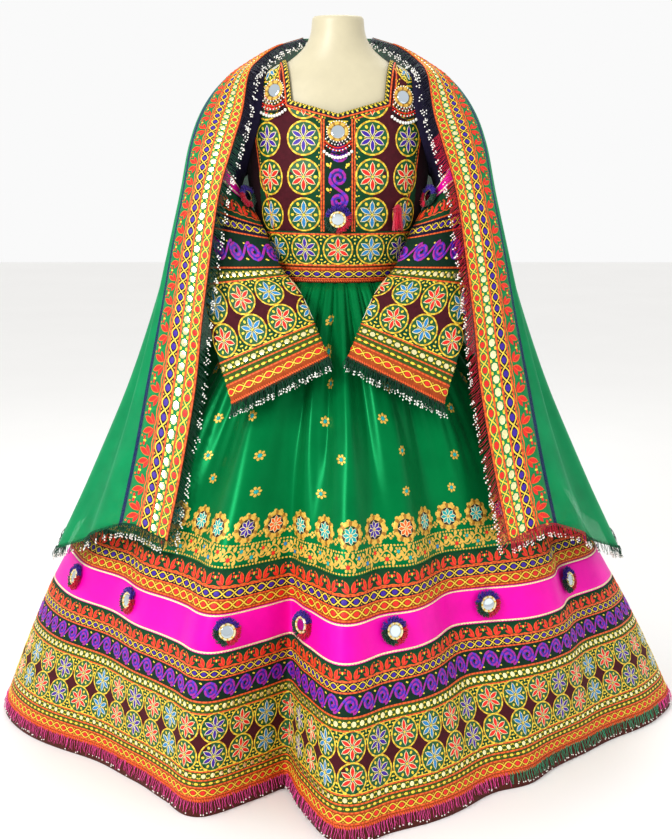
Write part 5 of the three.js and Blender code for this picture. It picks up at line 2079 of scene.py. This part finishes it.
@dataclass
class Sleeve:
    """A sleeve on one side: its head, the magenta stripe and the embroidered lower sleeve."""

    shop: Workshop
    side: int
    bodice: Bodice
    thick: float = 1.8
    columns: int = 96
    table: tuple[tuple[float, ...], ...] = (
        (0.08, -184, 0, 1420, -197, 0, 1203, 68), (0.18, -220, 0, 1394, -200, -3, 1193, 64),
        (0.32, -252, 0, 1328, -202, -14, 1181, 56), (0.48, -270, -8, 1235, -191, -42, 1156, 46),
        (0.62, -278, -35, 1130, -156, -85, 1098, 40), (0.75, -276, -90, 1020, -119, -130, 1024, 34),
        (0.88, -258, -172, 905, -73, -178, 968, 30), (1.0, -206, -298, 768, -20, -282, 859, 26),
    )

    @property
    def name(self) -> str:
        """The side's name."""
        return "left" if self.side < 0 else "right"

    def ring(self, along: float) -> np.ndarray:
        """Return the outer face of the left sleeve round one section.

        Args:
            along: The section, from 0 at the armhole to 1 at the cuff.

        Returns:
            The points.
        """
        curves = tracks(self.table)
        outer = np.array([float(curve(along)) for curve in curves[:3]])
        inner = np.array([float(curve(along)) for curve in curves[3:6]])
        deep_half = float(curves[6](along))
        out = (outer - inner) / 2
        wide = float(np.linalg.norm(out))
        out = out / wide
        t = float(smooth(0.4, 1, along))
        deep = np.array([0, 1, 0]) * (1 - t) + np.array([0.1, 0.95, -0.1]) * t
        deep = unit(deep - out * (deep @ out))
        turns = np.linspace(0, 2 * math.pi, self.columns + 1)[:, None]
        cos, sin = np.cos(turns), np.sin(turns)
        normal = unit(np.concatenate([cos / wide, sin / deep_half], 1))
        middle = (outer + inner) / 2
        a = wide * cos + self.thick * normal[:, :1]
        b = deep_half * sin + self.thick * normal[:, 1:]
        return middle + out * a + deep * b

    def armhole(self) -> np.ndarray:
        """Return the ring where the left sleeve meets the armhole.

        Returns:
            The points.
        """
        turns = np.linspace(0, 2 * math.pi, self.columns + 1)
        y = (self.bodice.armhole_deep + 4) * np.sin(turns)
        z = self.bodice.armhole_middle + (self.bodice.armhole_high + 4) * np.cos(turns)
        x = np.array([-self.bodice.side_at(a, b) for a, b in zip(y, z)])
        points = np.stack([x, y, z], -1)
        points = points + self.bodice.facing(points) * (self.bodice.lift + self.bodice.thick + 2)
        outward = unit(np.stack([0 * y, np.sin(turns), np.cos(turns)], -1))
        return points + outward * self.thick

    def cloth(self, rings: Sequence[np.ndarray], ends: tuple[int, ...]) -> Cloth:
        """Join rings into cloth, a little short of the seams at the ends named.

        Args:
            rings: The rings.
            ends: The ends that have a seam.

        Returns:
            The cloth.
        """
        points = np.array(rings)
        for end in ends:
            near = 1 if end == 0 else -2
            points[end] += unit(points[near] - points[end]) * 0.9
        flat = grid(distances(points[-1]), distances(points.mean(axis=1)))
        if self.side > 0:
            points = (points * [-1, 1, 1])[:, ::-1]
        return Cloth(points, flat, True)

    def make(self) -> None:
        """Build and embroider the sleeve."""
        first = self.ring(0.08)
        start = self.armhole()
        head = [start + (first - start) * t for t in (0, 0.34, 0.67)]
        head += [self.ring(a) for a in np.linspace(0.08, 0.4, 16)]
        cloth = self.cloth(head, (-1,))
        # The sleeve head is dyed near-black violet: its own dark violet cloth, darkened further as painted
        # shade for the shadow under the shawl.
        piece = cloth.made(f"sleeve_head_{self.name}_cloth", COTTON, [(2000, Dye.NIGHT)])
        self.finish(piece, "maroon", [f"sleeve_head_{self.name}"], cloth, "bodice_front_cloth")
        cloth = self.cloth([self.ring(a) for a in np.linspace(0.4, 0.5, 7)], (0, -1))
        piece = cloth.made(f"sleeve_stripe_{self.name}_cloth", TAFFETA)
        length, down = cloth.flat[-1, -1]
        layout = Layout()
        layout.row([Kind.SCALLOP], down - 4, 20, 0, length, 20)
        layout.row([Kind.SCALLOP], 4, 20, 0, length, 20, turn=math.pi)
        self.shop.embroidery(f"sleeve_stripe_{self.name}_braid", layout, piece)
        self.finish(
            piece, "magenta", [f"sleeve_stripe_{self.name}"], cloth, f"sleeve_head_{self.name}_cloth",
        )
        self.lower()

    def finish(
        self, piece: bpy.types.Object, slot: str, nodes: Sequence[str], cloth: Cloth, rests_on: str
    ) -> None:
        """Give a piece its thickness, fix it to the part and hide the CAD nodes that it replaces.

        Args:
            piece: The cloth's face.
            slot: The record's slot.
            nodes: The CAD nodes that it replaces.
            cloth: The cloth that it was made from.
            rests_on: What it hangs from.
        """
        around = np.linalg.norm(np.diff(cloth.points, axis=1), axis=2).sum(axis=1).mean()
        flat = (float(around) * MM, float(cloth.flat[-1, -1, 1]) * MM)
        sewn(piece, self.thick, slot, nodes, flat=flat, held="hung", rests_on=[rests_on])

    def lower(self) -> None:
        """Build the lower sleeve, whose rows are measured up from the cuff's edge."""
        cloth = self.cloth([self.ring(a) for a in np.linspace(0.5, 1, 34)], (0,))
        length, down = (float(v) for v in cloth.flat[-1, -1])
        scale = down / 318

        def at(up: float) -> float:
            """Return a row's place from its distance above the cuff's edge."""
            return down - up * scale

        bands = [
            (0, Dye.FOREST), (273, Dye.NIGHT), (249, Dye.PINE), (193, Dye.MOSS), (173, Dye.FOREST),
            (145, Dye.MAROON),
        ]
        bands += [(93, Dye.FOREST), (64, Dye.MOSS), (29, Dye.RUST)]
        dyes = [(at(up), dye) for (up, _), (_, dye) in zip(bands[1:], bands)] + [(2000, Dye.RUST)]
        piece = cloth.made(f"sleeve_cuff_{self.name}_cloth", COTTON, dyes)
        layout = Layout()
        layout.rounds(
            length, (Kind.RICKRACK, at(4), 20, 20, 1.1), (Kind.LINK_RED, at(18), 21, 18, 1.4),
            (Kind.CORD, at(29), 20, 20, 1.1), (Kind.OVAL, at(37), 15, 0, 1.2),
            (Kind.CORD, at(45), 20, 20, 1.1), (Kind.SPANGLE, at(54), 18, 0, 1.3),
            (Kind.CORD, at(64), 20, 20, 1.2),
        )
        pair = [Kind.MEDALLION_BLUE, Kind.MEDALLION_RED]
        layout.row(pair, at(93), 62, 0, length, high=1.08, tall=1.4)
        layout.row(pair[::-1], at(145), 62, 0, length, high=1.08, tall=1.4)
        layout.between(Kind.SPANDREL, at(76), 62, length, 0, (1, 1.1, 1))
        layout.between(Kind.SPANDREL, at(162), 62, length, math.pi, (1, 1.1, 1))
        layout.rounds(
            length, (Kind.CORD, at(173), 20, 20, 1.2), (Kind.SPANGLE, at(183), 18, 0, 1.3),
            (Kind.CORD, at(193.5), 20, 20, 1.2), (Kind.SCROLL, at(221), 50, 40, 1.45),
            (Kind.CORD, at(249), 20, 20, 1.2), (Kind.LINK_PURPLE, at(261), 22, 18, 1.5),
            (Kind.CORD, at(273), 20, 20, 1.2),
        )
        layout.row([Kind.LEAF], at(293), 42, 0, length, 42, 1.3, turn=math.pi)
        self.shop.embroidery(f"sleeve_{self.name}_embroidery", layout, piece)
        nodes = [f"sleeve_forearm_{self.name}", f"sleeve_cuff_{self.name}"]
        self.finish(piece, "embroidery", nodes, cloth, f"sleeve_stripe_{self.name}_cloth")


@dataclass
class Shawl:
    """The sheer shawl round the neck, with an embroidered band along each front edge."""

    shop: Workshop
    thick: float = 0.9
    drop: float = 9.3
    folds: int = 6
    deep: float = 26.0
    width: float = 90.0
    strip: float = 15.0
    long: float = 1120.0
    lines: tuple[tuple[tuple[float, float, float], ...], ...] = (
        ((-72, 34, 1496), (-125, 27, 1478), (-163, 4, 1450), (-182, -42, 1419), (-193, -86, 1343),
         (-212, -116, 1275), (-239, -134, 1180), (-258, -158, 1050), (-272, -196, 930), (-287, -218, 790),
         (-316, -270, 620), (-338, -324, 506)),
        ((-74, 38, 1496), (-135, 36, 1476), (-192, 18, 1443), (-236, -4, 1408), (-272, -38, 1350),
         (-296, -68, 1280), (-314, -94, 1180), (-338, -112, 1060), (-358, -132, 945), (-384, -166, 800),
         (-408, -222, 655), (-434, -270, 525)),
        ((-74, 46, 1496), (-140, 50, 1472), (-200, 44, 1434), (-248, 34, 1388), (-280, 26, 1332),
         (-298, 22, 1262), (-314, 18, 1165), (-340, 12, 1040), (-374, 0, 915), (-426, -20, 770),
         (-508, -40, 590), (-592, -55, 420)),
        ((-56, 68, 1498), (-102, 92, 1462), (-150, 116, 1416), (-192, 134, 1362), (-222, 145, 1300),
         (-246, 154, 1225), (-268, 164, 1130), (-292, 180, 1020), (-324, 214, 905), (-368, 268, 770),
         (-428, 334, 610), (-478, 390, 470)),
        ((0, 82, 1500), (0, 100, 1462), (0, 121, 1412), (0, 136, 1355), (0, 147, 1295), (0, 156, 1225),
         (0, 163, 1135), (0, 174, 1040), (0, 212, 930), (0, 290, 810), (0, 378, 680), (0, 448, 560)),
    )

    def surface(self, line: np.ndarray, down: np.ndarray) -> np.ndarray:
        """Return the inner face. Lines run from 0 at the right edge, through 4 behind, to 8 at the left edge.

        Args:
            line: The lines, either the same for each row or a list for each.
            down: How far down each row is, from 0 at the neck to 1.

        Returns:
            The points, row by row.
        """
        share = np.linspace(0, 1, 12)
        across = line + 0 * down[:, None]
        near = np.where(across < 4, across, 8 - across)
        rows = []
        for d, row in zip(down, near):
            knots = np.array(
                [[float(Track(share, column)(d)) for column in zip(*line)] for line in self.lines]
            )
            knots = np.concatenate([knots, knots[3:1:-1] * [-1, 1, 1]])
            rows.append(np.stack([Track(range(7), knots[:, k])(row) for k in range(3)], -1))
        points = np.array(rows)
        loose = smooth(1, 1.5, near) * smooth(0.2, 1, down)[:, None]
        wave = 0.5 - 0.5 * np.cos((near - 1) * self.folds / 3 * 2 * math.pi)
        away = unit(np.stack([points[..., 0], points[..., 1] - 20, 0 * points[..., 0]], -1))
        points = points + away * (self.deep * loose * wave)[..., None]
        points[..., 0] *= np.where(across < 4, -1, 1)
        points[..., 2] -= self.drop
        return points

    def cloth(self) -> Cloth:
        """Build the inner face of the whole shawl.

        Returns:
            The cloth.
        """
        down = np.linspace(1, 0, 84)
        dense = np.linspace(1, 2, 41)
        rows = self.surface(dense, down)
        out = np.concatenate(
            [np.zeros((len(down), 1)), np.cumsum(np.linalg.norm(np.diff(rows, axis=1), axis=2), axis=1)], 1,
        )
        ends = np.array([np.interp(self.strip, row, dense) for row in out])[:, None]
        half = np.concatenate([np.linspace(0, 1, 17) + 0 * ends, (1 + ends) / 2, ends], 1)
        half = np.concatenate([half, ends + (4 - ends) * np.linspace(0, 1, 67)[1:]], 1)
        line = np.concatenate([half, 8 - half[:, -2::-1]], 1)
        points = self.surface(line, down)
        flat = np.stack([line * self.width, (1 - down[:, None]) * self.long + 0 * line], -1)
        flat[:, 17:19, 0] = [self.width + self.strip / 2, self.width + self.strip]
        flat[:, -19:-17, 0] = 8 * self.width - flat[:, 18:16:-1, 0]
        inner = slice(19, -19)
        flat[:, inner, 0] = np.linspace(
            self.width + 2 * self.strip, 7 * self.width - 2 * self.strip, flat[:, inner].shape[1],
        )
        return Cloth(points, flat)

    def make(self) -> None:
        """Build the shawl and its two bands."""
        whole = self.cloth()
        face = whole.lifted(self.thick)
        navy = self.width + self.strip + 0.5
        dyes = [(navy, Dye.NAVY), (8 * self.width - navy, Dye.CHIFFON), (8 * self.width, Dye.NAVY)]
        shawl = face.made("shawl_cloth", CHIFFON, dyes, 0)
        thicken(shawl, 0.6)
        above = whole.lifted(2.7)
        dye_ends = [
            (6, Dye.RUST), (22, Dye.LEAF), (24, Dye.RUST), (40, Dye.LEAF), (42, Dye.RUST), (59, Dye.NIGHT),
            (90, Dye.LEAF),
        ]
        for name, columns in (("right", slice(0, 17)), ("left", slice(-17, None))):
            part = above.cut(slice(None), columns)
            if name == "left":
                starts = [0.0, *(end for end, _ in dye_ends[:-1])]
                dyes = [
                    (8 * self.width - start, dye) for start, (_, dye) in zip(starts[::-1], dye_ends[::-1])
                ]
            else:
                dyes = dye_ends
            piece = part.made(f"shawl_band_{name}_cloth", COTTON, dyes, 0)
            self.shop.embroidery(f"shawl_band_{name}_embroidery", self.band_layout(name), piece)
            sewn(piece, 1.2, "orange_trim", [f"shawl_band_{name}"])
        worn(shawl, "chiffon", "shawl_right", "shawl_back", "shawl_left")

    def band_layout(self, name: str) -> Layout:
        """Lay out the rows of the band, by their distance from the front edge.

        Args:
            name: The band's side.

        Returns:
            The layout.
        """
        layout = Layout()
        top = self.long * 0.93

        def row(
            kinds: Sequence[Kind], out: float, pitch: float, own: float, high: float, turn: float = 0.0
        ) -> None:
            """Add a row that runs up the band."""
            at = out if name == "right" else 8 * self.width - out
            layout.row(kinds, at, pitch, 2, top, own, high, turn, upright=True)

        for out in (2.5, 21.5, 39.5, 58):
            row([Kind.CORD], out, 20, 20, 1.15)
        row([Kind.LINK_RED], 12.5, 18, 18, 1.35)
        row([Kind.SPANGLE], 30.5, 17, 0, 1.25)
        row([Kind.LINK_PURPLE], 49, 19, 18, 1.35)
        row([Kind.LEAF], 75, 40, 42, 1.05, math.pi if name == "right" else 0.0)
        return layout


@dataclass
class Ornaments:
    """Wool pompoms with mirrors, beaded mirror drops and the tassel."""

    shop: Workshop
    frame: dict
    bodice: Bodice
    tufts: int = 300
    mirror_sides: int = 28
    threads: int = 170
    binding: int = 30

    def seat(self, node: str) -> tuple[np.ndarray, np.ndarray]:
        """Return where a round CAD piece sits and the way it faces, in millimetres.

        Args:
            node: The CAD piece.

        Returns:
            The two vectors.
        """
        mesh = self.frame["nodes"][node].data
        points = np.zeros(len(mesh.vertices) * 3)
        mesh.vertices.foreach_get("co", points)
        points = np.unique(np.round(points.reshape(-1, 3) / MM, 2), axis=0)
        middle = points.mean(axis=0)
        way = np.linalg.svd(points - middle)[2][2]
        if way @ (middle * [1, 1, 0]) < 0:
            way = -way
        heights = (points - middle) @ way
        return middle + way * heights.min(), way

    def wool(self, layout: Layout, node: str, size: float, rng: np.random.Generator) -> None:
        """Add the tufts of one pompom: violet above, green on one side and crimson on the other.

        Args:
            layout: Where the tufts go.
            node: The CAD piece.
            size: Its scale.
            rng: The random draws.
        """
        base, way = self.seat(node)
        up = unit(np.array([0, 0, 1]) - way * way[2])
        across = np.cross(up, way)
        for i in range(self.tufts):
            turn = 2 * math.pi * (i * 0.618034 % 1)
            degrees = math.degrees(turn)
            kind = Strand.WOOL_CRIMSON
            if 20 < degrees < 165:
                kind = Strand.WOOL_NAVY
            elif 165 <= degrees < 265:
                kind = Strand.WOOL_TEAL
            lean = math.radians(rng.uniform(0, 62))
            radius = size * rng.uniform(14, 17.5)
            ring = across * math.cos(turn) + up * math.sin(turn)
            facing = ring * math.cos(lean) + way * math.sin(lean) + rng.normal(0, 0.1, 3)
            place = base + ring * radius + way * 1.0
            long = size * rng.uniform(0.9, 1.15)
            layout.put(kind.value, place, rng.uniform(0, 6), (1.35, 1.35, long), facing)

    def rimmed(
        self, rims: Layout, mirrors: list[tuple[np.ndarray, np.ndarray, float]], node: str, kind: Strand,
        radius: float, height: float, size: float,
    ) -> None:
        """Add one mirror and its rim above a CAD piece's seat.

        Args:
            rims: The rims.
            mirrors: The mirrors.
            node: The CAD piece.
            kind: The rim's kind.
            radius: The mirror's radius.
            height: Its height above the seat.
            size: The rim's scale.
        """
        base, way = self.seat(node)
        rims.put(kind.value, base + way * height, 0, (size, size, size), way)
        mirrors.append((base + way * (height + 0.6), way, radius))

    def glass(self, name: str, mirrors: Sequence[tuple[np.ndarray, np.ndarray, float]]) -> None:
        """Build the mirrors as thin domed discs with closed backs.

        Args:
            name: The piece's name.
            mirrors: Each mirror's seat, way and radius.
        """
        sides = self.mirror_sides
        points, faces = [], []
        for base, way, radius in mirrors:
            across = unit(np.cross(way, [0.1, 0.2, 1]))
            up = np.cross(way, across)
            start = len(points)
            for share, high in ((0.98, -0.8), (1.0, 0.2), (0.7, 0.75), (0.35, 1.0)):
                for i in range(sides):
                    turn = 2 * math.pi * i / sides
                    spoke = across * math.cos(turn) + up * math.sin(turn)
                    points.append((base + spoke * radius * share + way * high) * MM)
            faces += [tuple(start + corner for corner in face) for face in walls(4, sides)]
            faces += [
                tuple(range(start + sides - 1, start - 1, -1)),
                tuple(range(start + 3 * sides, start + 4 * sides)),
            ]
        mesh = bpy.data.meshes.new(name)
        mesh.from_pydata([tuple(p) for p in points], [], faces)
        worn(placed(name, mesh, GLASS), "mirror")

    def make(self) -> None:
        """Build all the ornaments."""
        rng = np.random.default_rng(SEED)
        rims = Layout()
        mirrors: list[tuple[np.ndarray, np.ndarray, float]] = []
        stripe = [f"pompom_{i:02d}" for i in range(1, 15)]
        groups = (
            ("stripe_pompoms", stripe, 1.0), ("bodice_pompom", ["pompom_front"], 1.0),
            ("sleeve_pompoms", ["pompom_sleeve_left", "pompom_sleeve_right"], 0.85),
        )
        for name, nodes, size in groups:
            layout = Layout()
            for node in nodes:
                self.wool(layout, node, size, rng)
                self.rimmed(rims, mirrors, node, Strand.RIM, 14.2 * size, 6.5, size)
            self.shop.standing(name, layout, WOOL, "wool", *nodes)
        drops = [f"mirror_drop_{side}" for side in ("left", "centre", "right")]
        for drop in drops:
            self.rimmed(rims, mirrors, drop, Strand.PICOT_RIM, 15.5, 0.6, 1.0)
        self.shop.standing("mirror_rims", rims, EMBROIDERY, "embroidery", *drops)
        self.glass("mirrors", mirrors)
        self.aprons()
        self.tassel(rng)

    def aprons(self) -> None:
        """Hang five rows of beads below each mirror drop."""
        layout = Layout()
        rows = (
            (24.0, 0.85, 17, (Strand.BEAD_BLACK, Strand.BEAD_WHITE)),
            (29.5, 0.9, 17, (Strand.BEAD_WHITE, Strand.BEAD_BLACK)), (35.0, 0.9, 17, (Strand.BEAD_RED,)),
            (40.5, 0.9, 17, (Strand.BEAD_RED, Strand.BEAD_WHITE)), (46.0, 0.9, 17, (Strand.BEAD_BLACK,)),
            (54.0, 1.75, 11, (Strand.BEAD_WHITE,)),
        )
        for side in ("left", "centre", "right"):
            base, way = self.seat(f"mirror_drop_{side}")
            for reach, size, count, kinds in rows:
                for i in range(count):
                    t = -1 + 2 * i / (count - 1)
                    x = base[0] + t * (20 + 0.12 * reach)
                    z = base[2] - reach + 12 * t * t
                    if math.hypot(x - base[0], z - base[2]) < 23.5:
                        continue
                    skin = self.bodice.skin(np.array(x), np.array(z), -1)
                    place = skin + self.bodice.facing(skin) * (9.6 if side == "centre" else 8.6)
                    layout.put(
                        kinds[i % len(kinds)].value, place, i * 1.0, (size, size, size), (0.2 * t, 0, -1),
                    )
        self.shop.standing("mirror_drop_beads", layout, EMBROIDERY, "embroidery")

    def tassel(self, rng: np.random.Generator) -> None:
        """Build the wool tassel on the right of the chest.

        Args:
            rng: The random draws.
        """
        low, high = (np.array(corner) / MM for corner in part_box("tassel"))
        middle = (low + high) / 2
        layout = Layout()
        for i in range(self.threads):
            turn = rng.uniform(0, 2 * math.pi)
            share = i / self.threads
            radius = 7.5 * math.sqrt(share)
            place = (
                middle[0] + radius * math.cos(turn), middle[1] + radius * math.sin(turn),
                high[2] - 2 - 6 * share,
            )
            facing = (0.09 * math.cos(turn), 0.09 * math.sin(turn), -1)
            layout.put(Strand.WOOL_CRIMSON.value, place, turn, (1.1, 1.1, rng.uniform(3.7, 4.1)), facing)
        for i in range(self.binding):
            turn = 2 * math.pi * i / 10
            place = (
                middle[0] + 6.8 * math.cos(turn), middle[1] + 6.8 * math.sin(turn), high[2] - 9 - i * 0.35,
            )
            layout.put(
                Strand.BARE_CRIMSON.value, place, 0, (1.3, 1.3, 0.28), (-math.sin(turn), math.cos(turn), 0),
            )
        self.shop.standing("chest_tassel", layout, WOOL, "magenta", "tassel")


@dataclass
class Fringes:
    """Beaded thread fringes at the hem, the cuffs and the edges of the shawl."""

    shop: Workshop
    skirt: Skirt
    shawl: Shawl
    hem_strands: int = 1050
    cuff_strands: int = 340
    edge_roots: int = 330
    shawl_strands: int = 760
    mint: tuple[float, float] = (42.0, 88.0)
    navy_to: float = 0.42
    crimson_to: float = 1.35

    def strand(
        self, layout: Layout, kinds: Sequence[Strand], root: np.ndarray, way: np.ndarray, long: float,
        rng: np.random.Generator,
    ) -> None:
        """Add one strand, each a little different.

        Args:
            layout: Where the strands go.
            kinds: The kinds to draw from.
            root: Where it is sewn.
            way: The way it hangs.
            long: Its length.
            rng: The random draws.
        """
        facing = unit(way + rng.normal(0, 0.09, 3))
        kind = kinds[int(rng.integers(len(kinds)))]
        size = long / 28 * rng.uniform(0.86, 1.04)
        layout.put(kind.value, root, rng.uniform(0, 6.28), (1, 1, size), facing)

    def hem(self) -> None:
        """Hang the fringe round the hem: green on the wearer's left in front, pink elsewhere."""
        rng = np.random.default_rng(SEED)
        layout = Layout()
        ring = self.skirt.cloth([20, 30, 40], 10)
        along = ring.flat[1, :, 0]
        places = np.linspace(0, along[-1], self.hem_strands, endpoint=False)
        index = np.interp(places, along, np.arange(len(along)))
        for i in index:
            a, b = int(i), min(int(i) + 1, len(along) - 1)
            t = i - a
            root = ring.points[1, a] * (1 - t) + ring.points[1, b] * t
            out = ring.out[1, a]
            degrees = math.degrees(math.atan2(root[0], -root[1]))
            kinds = [Strand.FRINGE_PINK, Strand.BARE_PINK, Strand.BARE_PINK]
            if self.mint[0] < degrees < self.mint[1]:
                kinds = [Strand.FRINGE_MINT, Strand.BARE_MINT]
            root = root + out * rng.uniform(1.2, 3.2) + np.array([0, 0, rng.uniform(-3, 4)])
            self.strand(layout, kinds, root, np.array([out[0] * 0.3, out[1] * 0.3, -1]), 24, rng)
        self.shop.standing("hem_fringe", layout, EMBROIDERY, "fringe", "fringe_hem")

    def cuff(self, sleeve: Sleeve) -> None:
        """Hang the fringe round one cuff.

        Args:
            sleeve: The sleeve.
        """
        rng = np.random.default_rng(SEED + sleeve.side)
        layout = Layout()
        ring = sleeve.ring(0.998)
        if sleeve.side > 0:
            ring = ring * [-1, 1, 1]
        steps = distances(ring)
        middle = ring.mean(axis=0)
        for place in np.linspace(0, steps[-1], self.cuff_strands, endpoint=False):
            root = np.array([np.interp(place, steps, ring[:, k]) for k in range(3)])
            out = unit(root - middle)
            way = np.array([-sleeve.side * 0.1, -0.55, -0.85]) + out * 0.12
            kinds = [Strand.FRINGE_GREEN] + [Strand.BARE_GREEN] * 3
            self.strand(layout, kinds, root + out * rng.uniform(0.8, 1.8), way, 30, rng)
        self.shop.standing(
            f"cuff_fringe_{sleeve.name}", layout, EMBROIDERY, "fringe", f"fringe_cuff_{sleeve.name}",
        )

    def edges(self) -> None:
        """Hang the fringes along the shawl's front edges and its lower edge."""
        rng = np.random.default_rng(SEED + 5)
        down = np.linspace(0.0, 1, self.edge_roots)
        lines = np.array([0.0, 0.06, 7.94, 8.0])
        points = self.shawl.surface(lines, down)
        for name, edge, inner, side in (("right", 0, 1, 1), ("left", 3, 2, -1)):
            layout = Layout()
            for i, d in enumerate(down):
                root = points[i, edge]
                away = unit(points[i, edge] - points[i, inner])
                if d < self.navy_to:
                    kinds = [Strand.FRINGE_NAVY, Strand.BARE_NAVY, Strand.BARE_NAVY]
                elif side > 0:
                    kinds = [Strand.FRINGE_CRIMSON, Strand.BARE_CRIMSON, Strand.BARE_CRIMSON]
                else:
                    kinds = [Strand.FRINGE_GREEN, Strand.BARE_GREEN, Strand.BARE_GREEN]
                for _ in range(2):
                    way = away * 0.55 + np.array([-side * 0.25, -0.32, -0.62])
                    self.strand(
                        layout, kinds, root + np.array([0, -2.4, 0]) + rng.normal(0, 0.5, 3), way, 31, rng,
                    )
            self.shop.standing(
                f"shawl_edge_fringe_{name}", layout, EMBROIDERY, "fringe", f"fringe_shawl_{name}",
            )
        layout = Layout()
        line = np.linspace(0.02, 7.98, self.shawl_strands)
        rows = self.shawl.surface(line, np.array([1.0, 0.985]))
        for i in range(len(line)):
            out = unit(rows[0, i] * [1, 1, 0])
            kinds = [Strand.FRINGE_GREEN, Strand.BARE_GREEN, Strand.BARE_GREEN]
            if line[i] < self.crimson_to:
                kinds = [Strand.FRINGE_CRIMSON, Strand.BARE_CRIMSON, Strand.BARE_CRIMSON]
            self.strand(layout, kinds, rows[0, i] + out * 1.6 + [0, 0, 5], out * 0.3 + [0, 0, -1], 29, rng)
        self.shop.standing("shawl_hem_fringe", layout, EMBROIDERY, "fringe", "fringe_shawl_hem")


@dataclass(frozen=True)
class Studio:
    """A pale floor, soft lights and the camera at the photograph's angle."""

    camera_at: tuple[float, float, float] = (-0.004, -3.0, 1.278)
    pitch: float = 11.28
    lens: float = 75.0
    brightness: float = 0.8
    lights: tuple[tuple[str, tuple[float, float, float], float, float], ...] = (
        ("key", (-2.0, -2.5, 2.6), 1.0, 62.0), ("fill", (2.4, -2.4, 1.2), 2.0, 5.0), (
            "top", (0.2, 1.2, 3.2), 1.5, 22.0,
        ),
    )

    def make(self) -> None:
        """Set up the studio."""
        scene = bpy.context.scene
        data = bpy.data.cameras.new("camera")
        data.sensor_fit = "HORIZONTAL"
        data.sensor_width = 36.0
        data.lens = self.lens
        camera = bpy.data.objects.new("camera", data)
        camera.location = self.camera_at
        camera.rotation_euler = (math.radians(90 - self.pitch), 0, 0)
        scene.collection.objects.link(camera)
        scene.camera = camera
        mesh = bpy.data.meshes.new("floor")
        mesh.from_pydata(
            [(-12, -12, -0.0005), (12, -12, -0.0005), (12, 12, -0.0005), (-12, 12, -0.0005)], [],
            [(0, 1, 2, 3)],
        )
        floor = placed(
            "floor", mesh,
            Finish("pale_paper", "#f4f3f1", rough=0.9, weave=Weave.NONE, uneven=0.01, patch=900.0),
        )
        world = bpy.data.worlds.new("soft_white")
        world.use_nodes = True
        background = world.node_tree.nodes["Background"]
        background.inputs["Color"].default_value = (1.0, 1.0, 1.0, 1.0)
        background.inputs["Strength"].default_value = self.brightness
        scene.world = world
        scene.view_settings.view_transform = "Standard"
        scene.view_settings.look = "Medium High Contrast"
        for name, place, size, power in self.lights:
            lamp = bpy.data.lights.new(name, "AREA")
            lamp.shape = "DISK"
            lamp.size = size
            lamp.energy = power
            light = bpy.data.objects.new(name, lamp)
            light.location = place
            aim = np.array([0, 0, 0.75]) - np.array(place)
            flat = math.hypot(aim[0], aim[1])
            light.rotation_euler = (math.atan2(flat, -aim[2]), 0, math.atan2(-aim[0], aim[1]))
            scene.collection.objects.link(light)


def main() -> None:
    """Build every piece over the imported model."""
    logging.basicConfig(level=logging.INFO)
    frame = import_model()
    Studio().make()
    shop = Workshop()
    bodice = Bodice(shop)
    skirt = Skirt(shop)
    shawl = Shawl(shop)
    DressForm().make(frame)
    bodice.make()
    skirt.make()
    sleeves = [Sleeve(shop, -1, bodice), Sleeve(shop, 1, bodice)]
    for sleeve in sleeves:
        sleeve.make()
    shawl.make()
    Ornaments(shop, frame, bodice).make()
    fringes = Fringes(shop, skirt, shawl)
    fringes.hem()
    for sleeve in sleeves:
        fringes.cuff(sleeve)
    fringes.edges()
    shop.put_away()


if __name__ == "__main__":
    main()
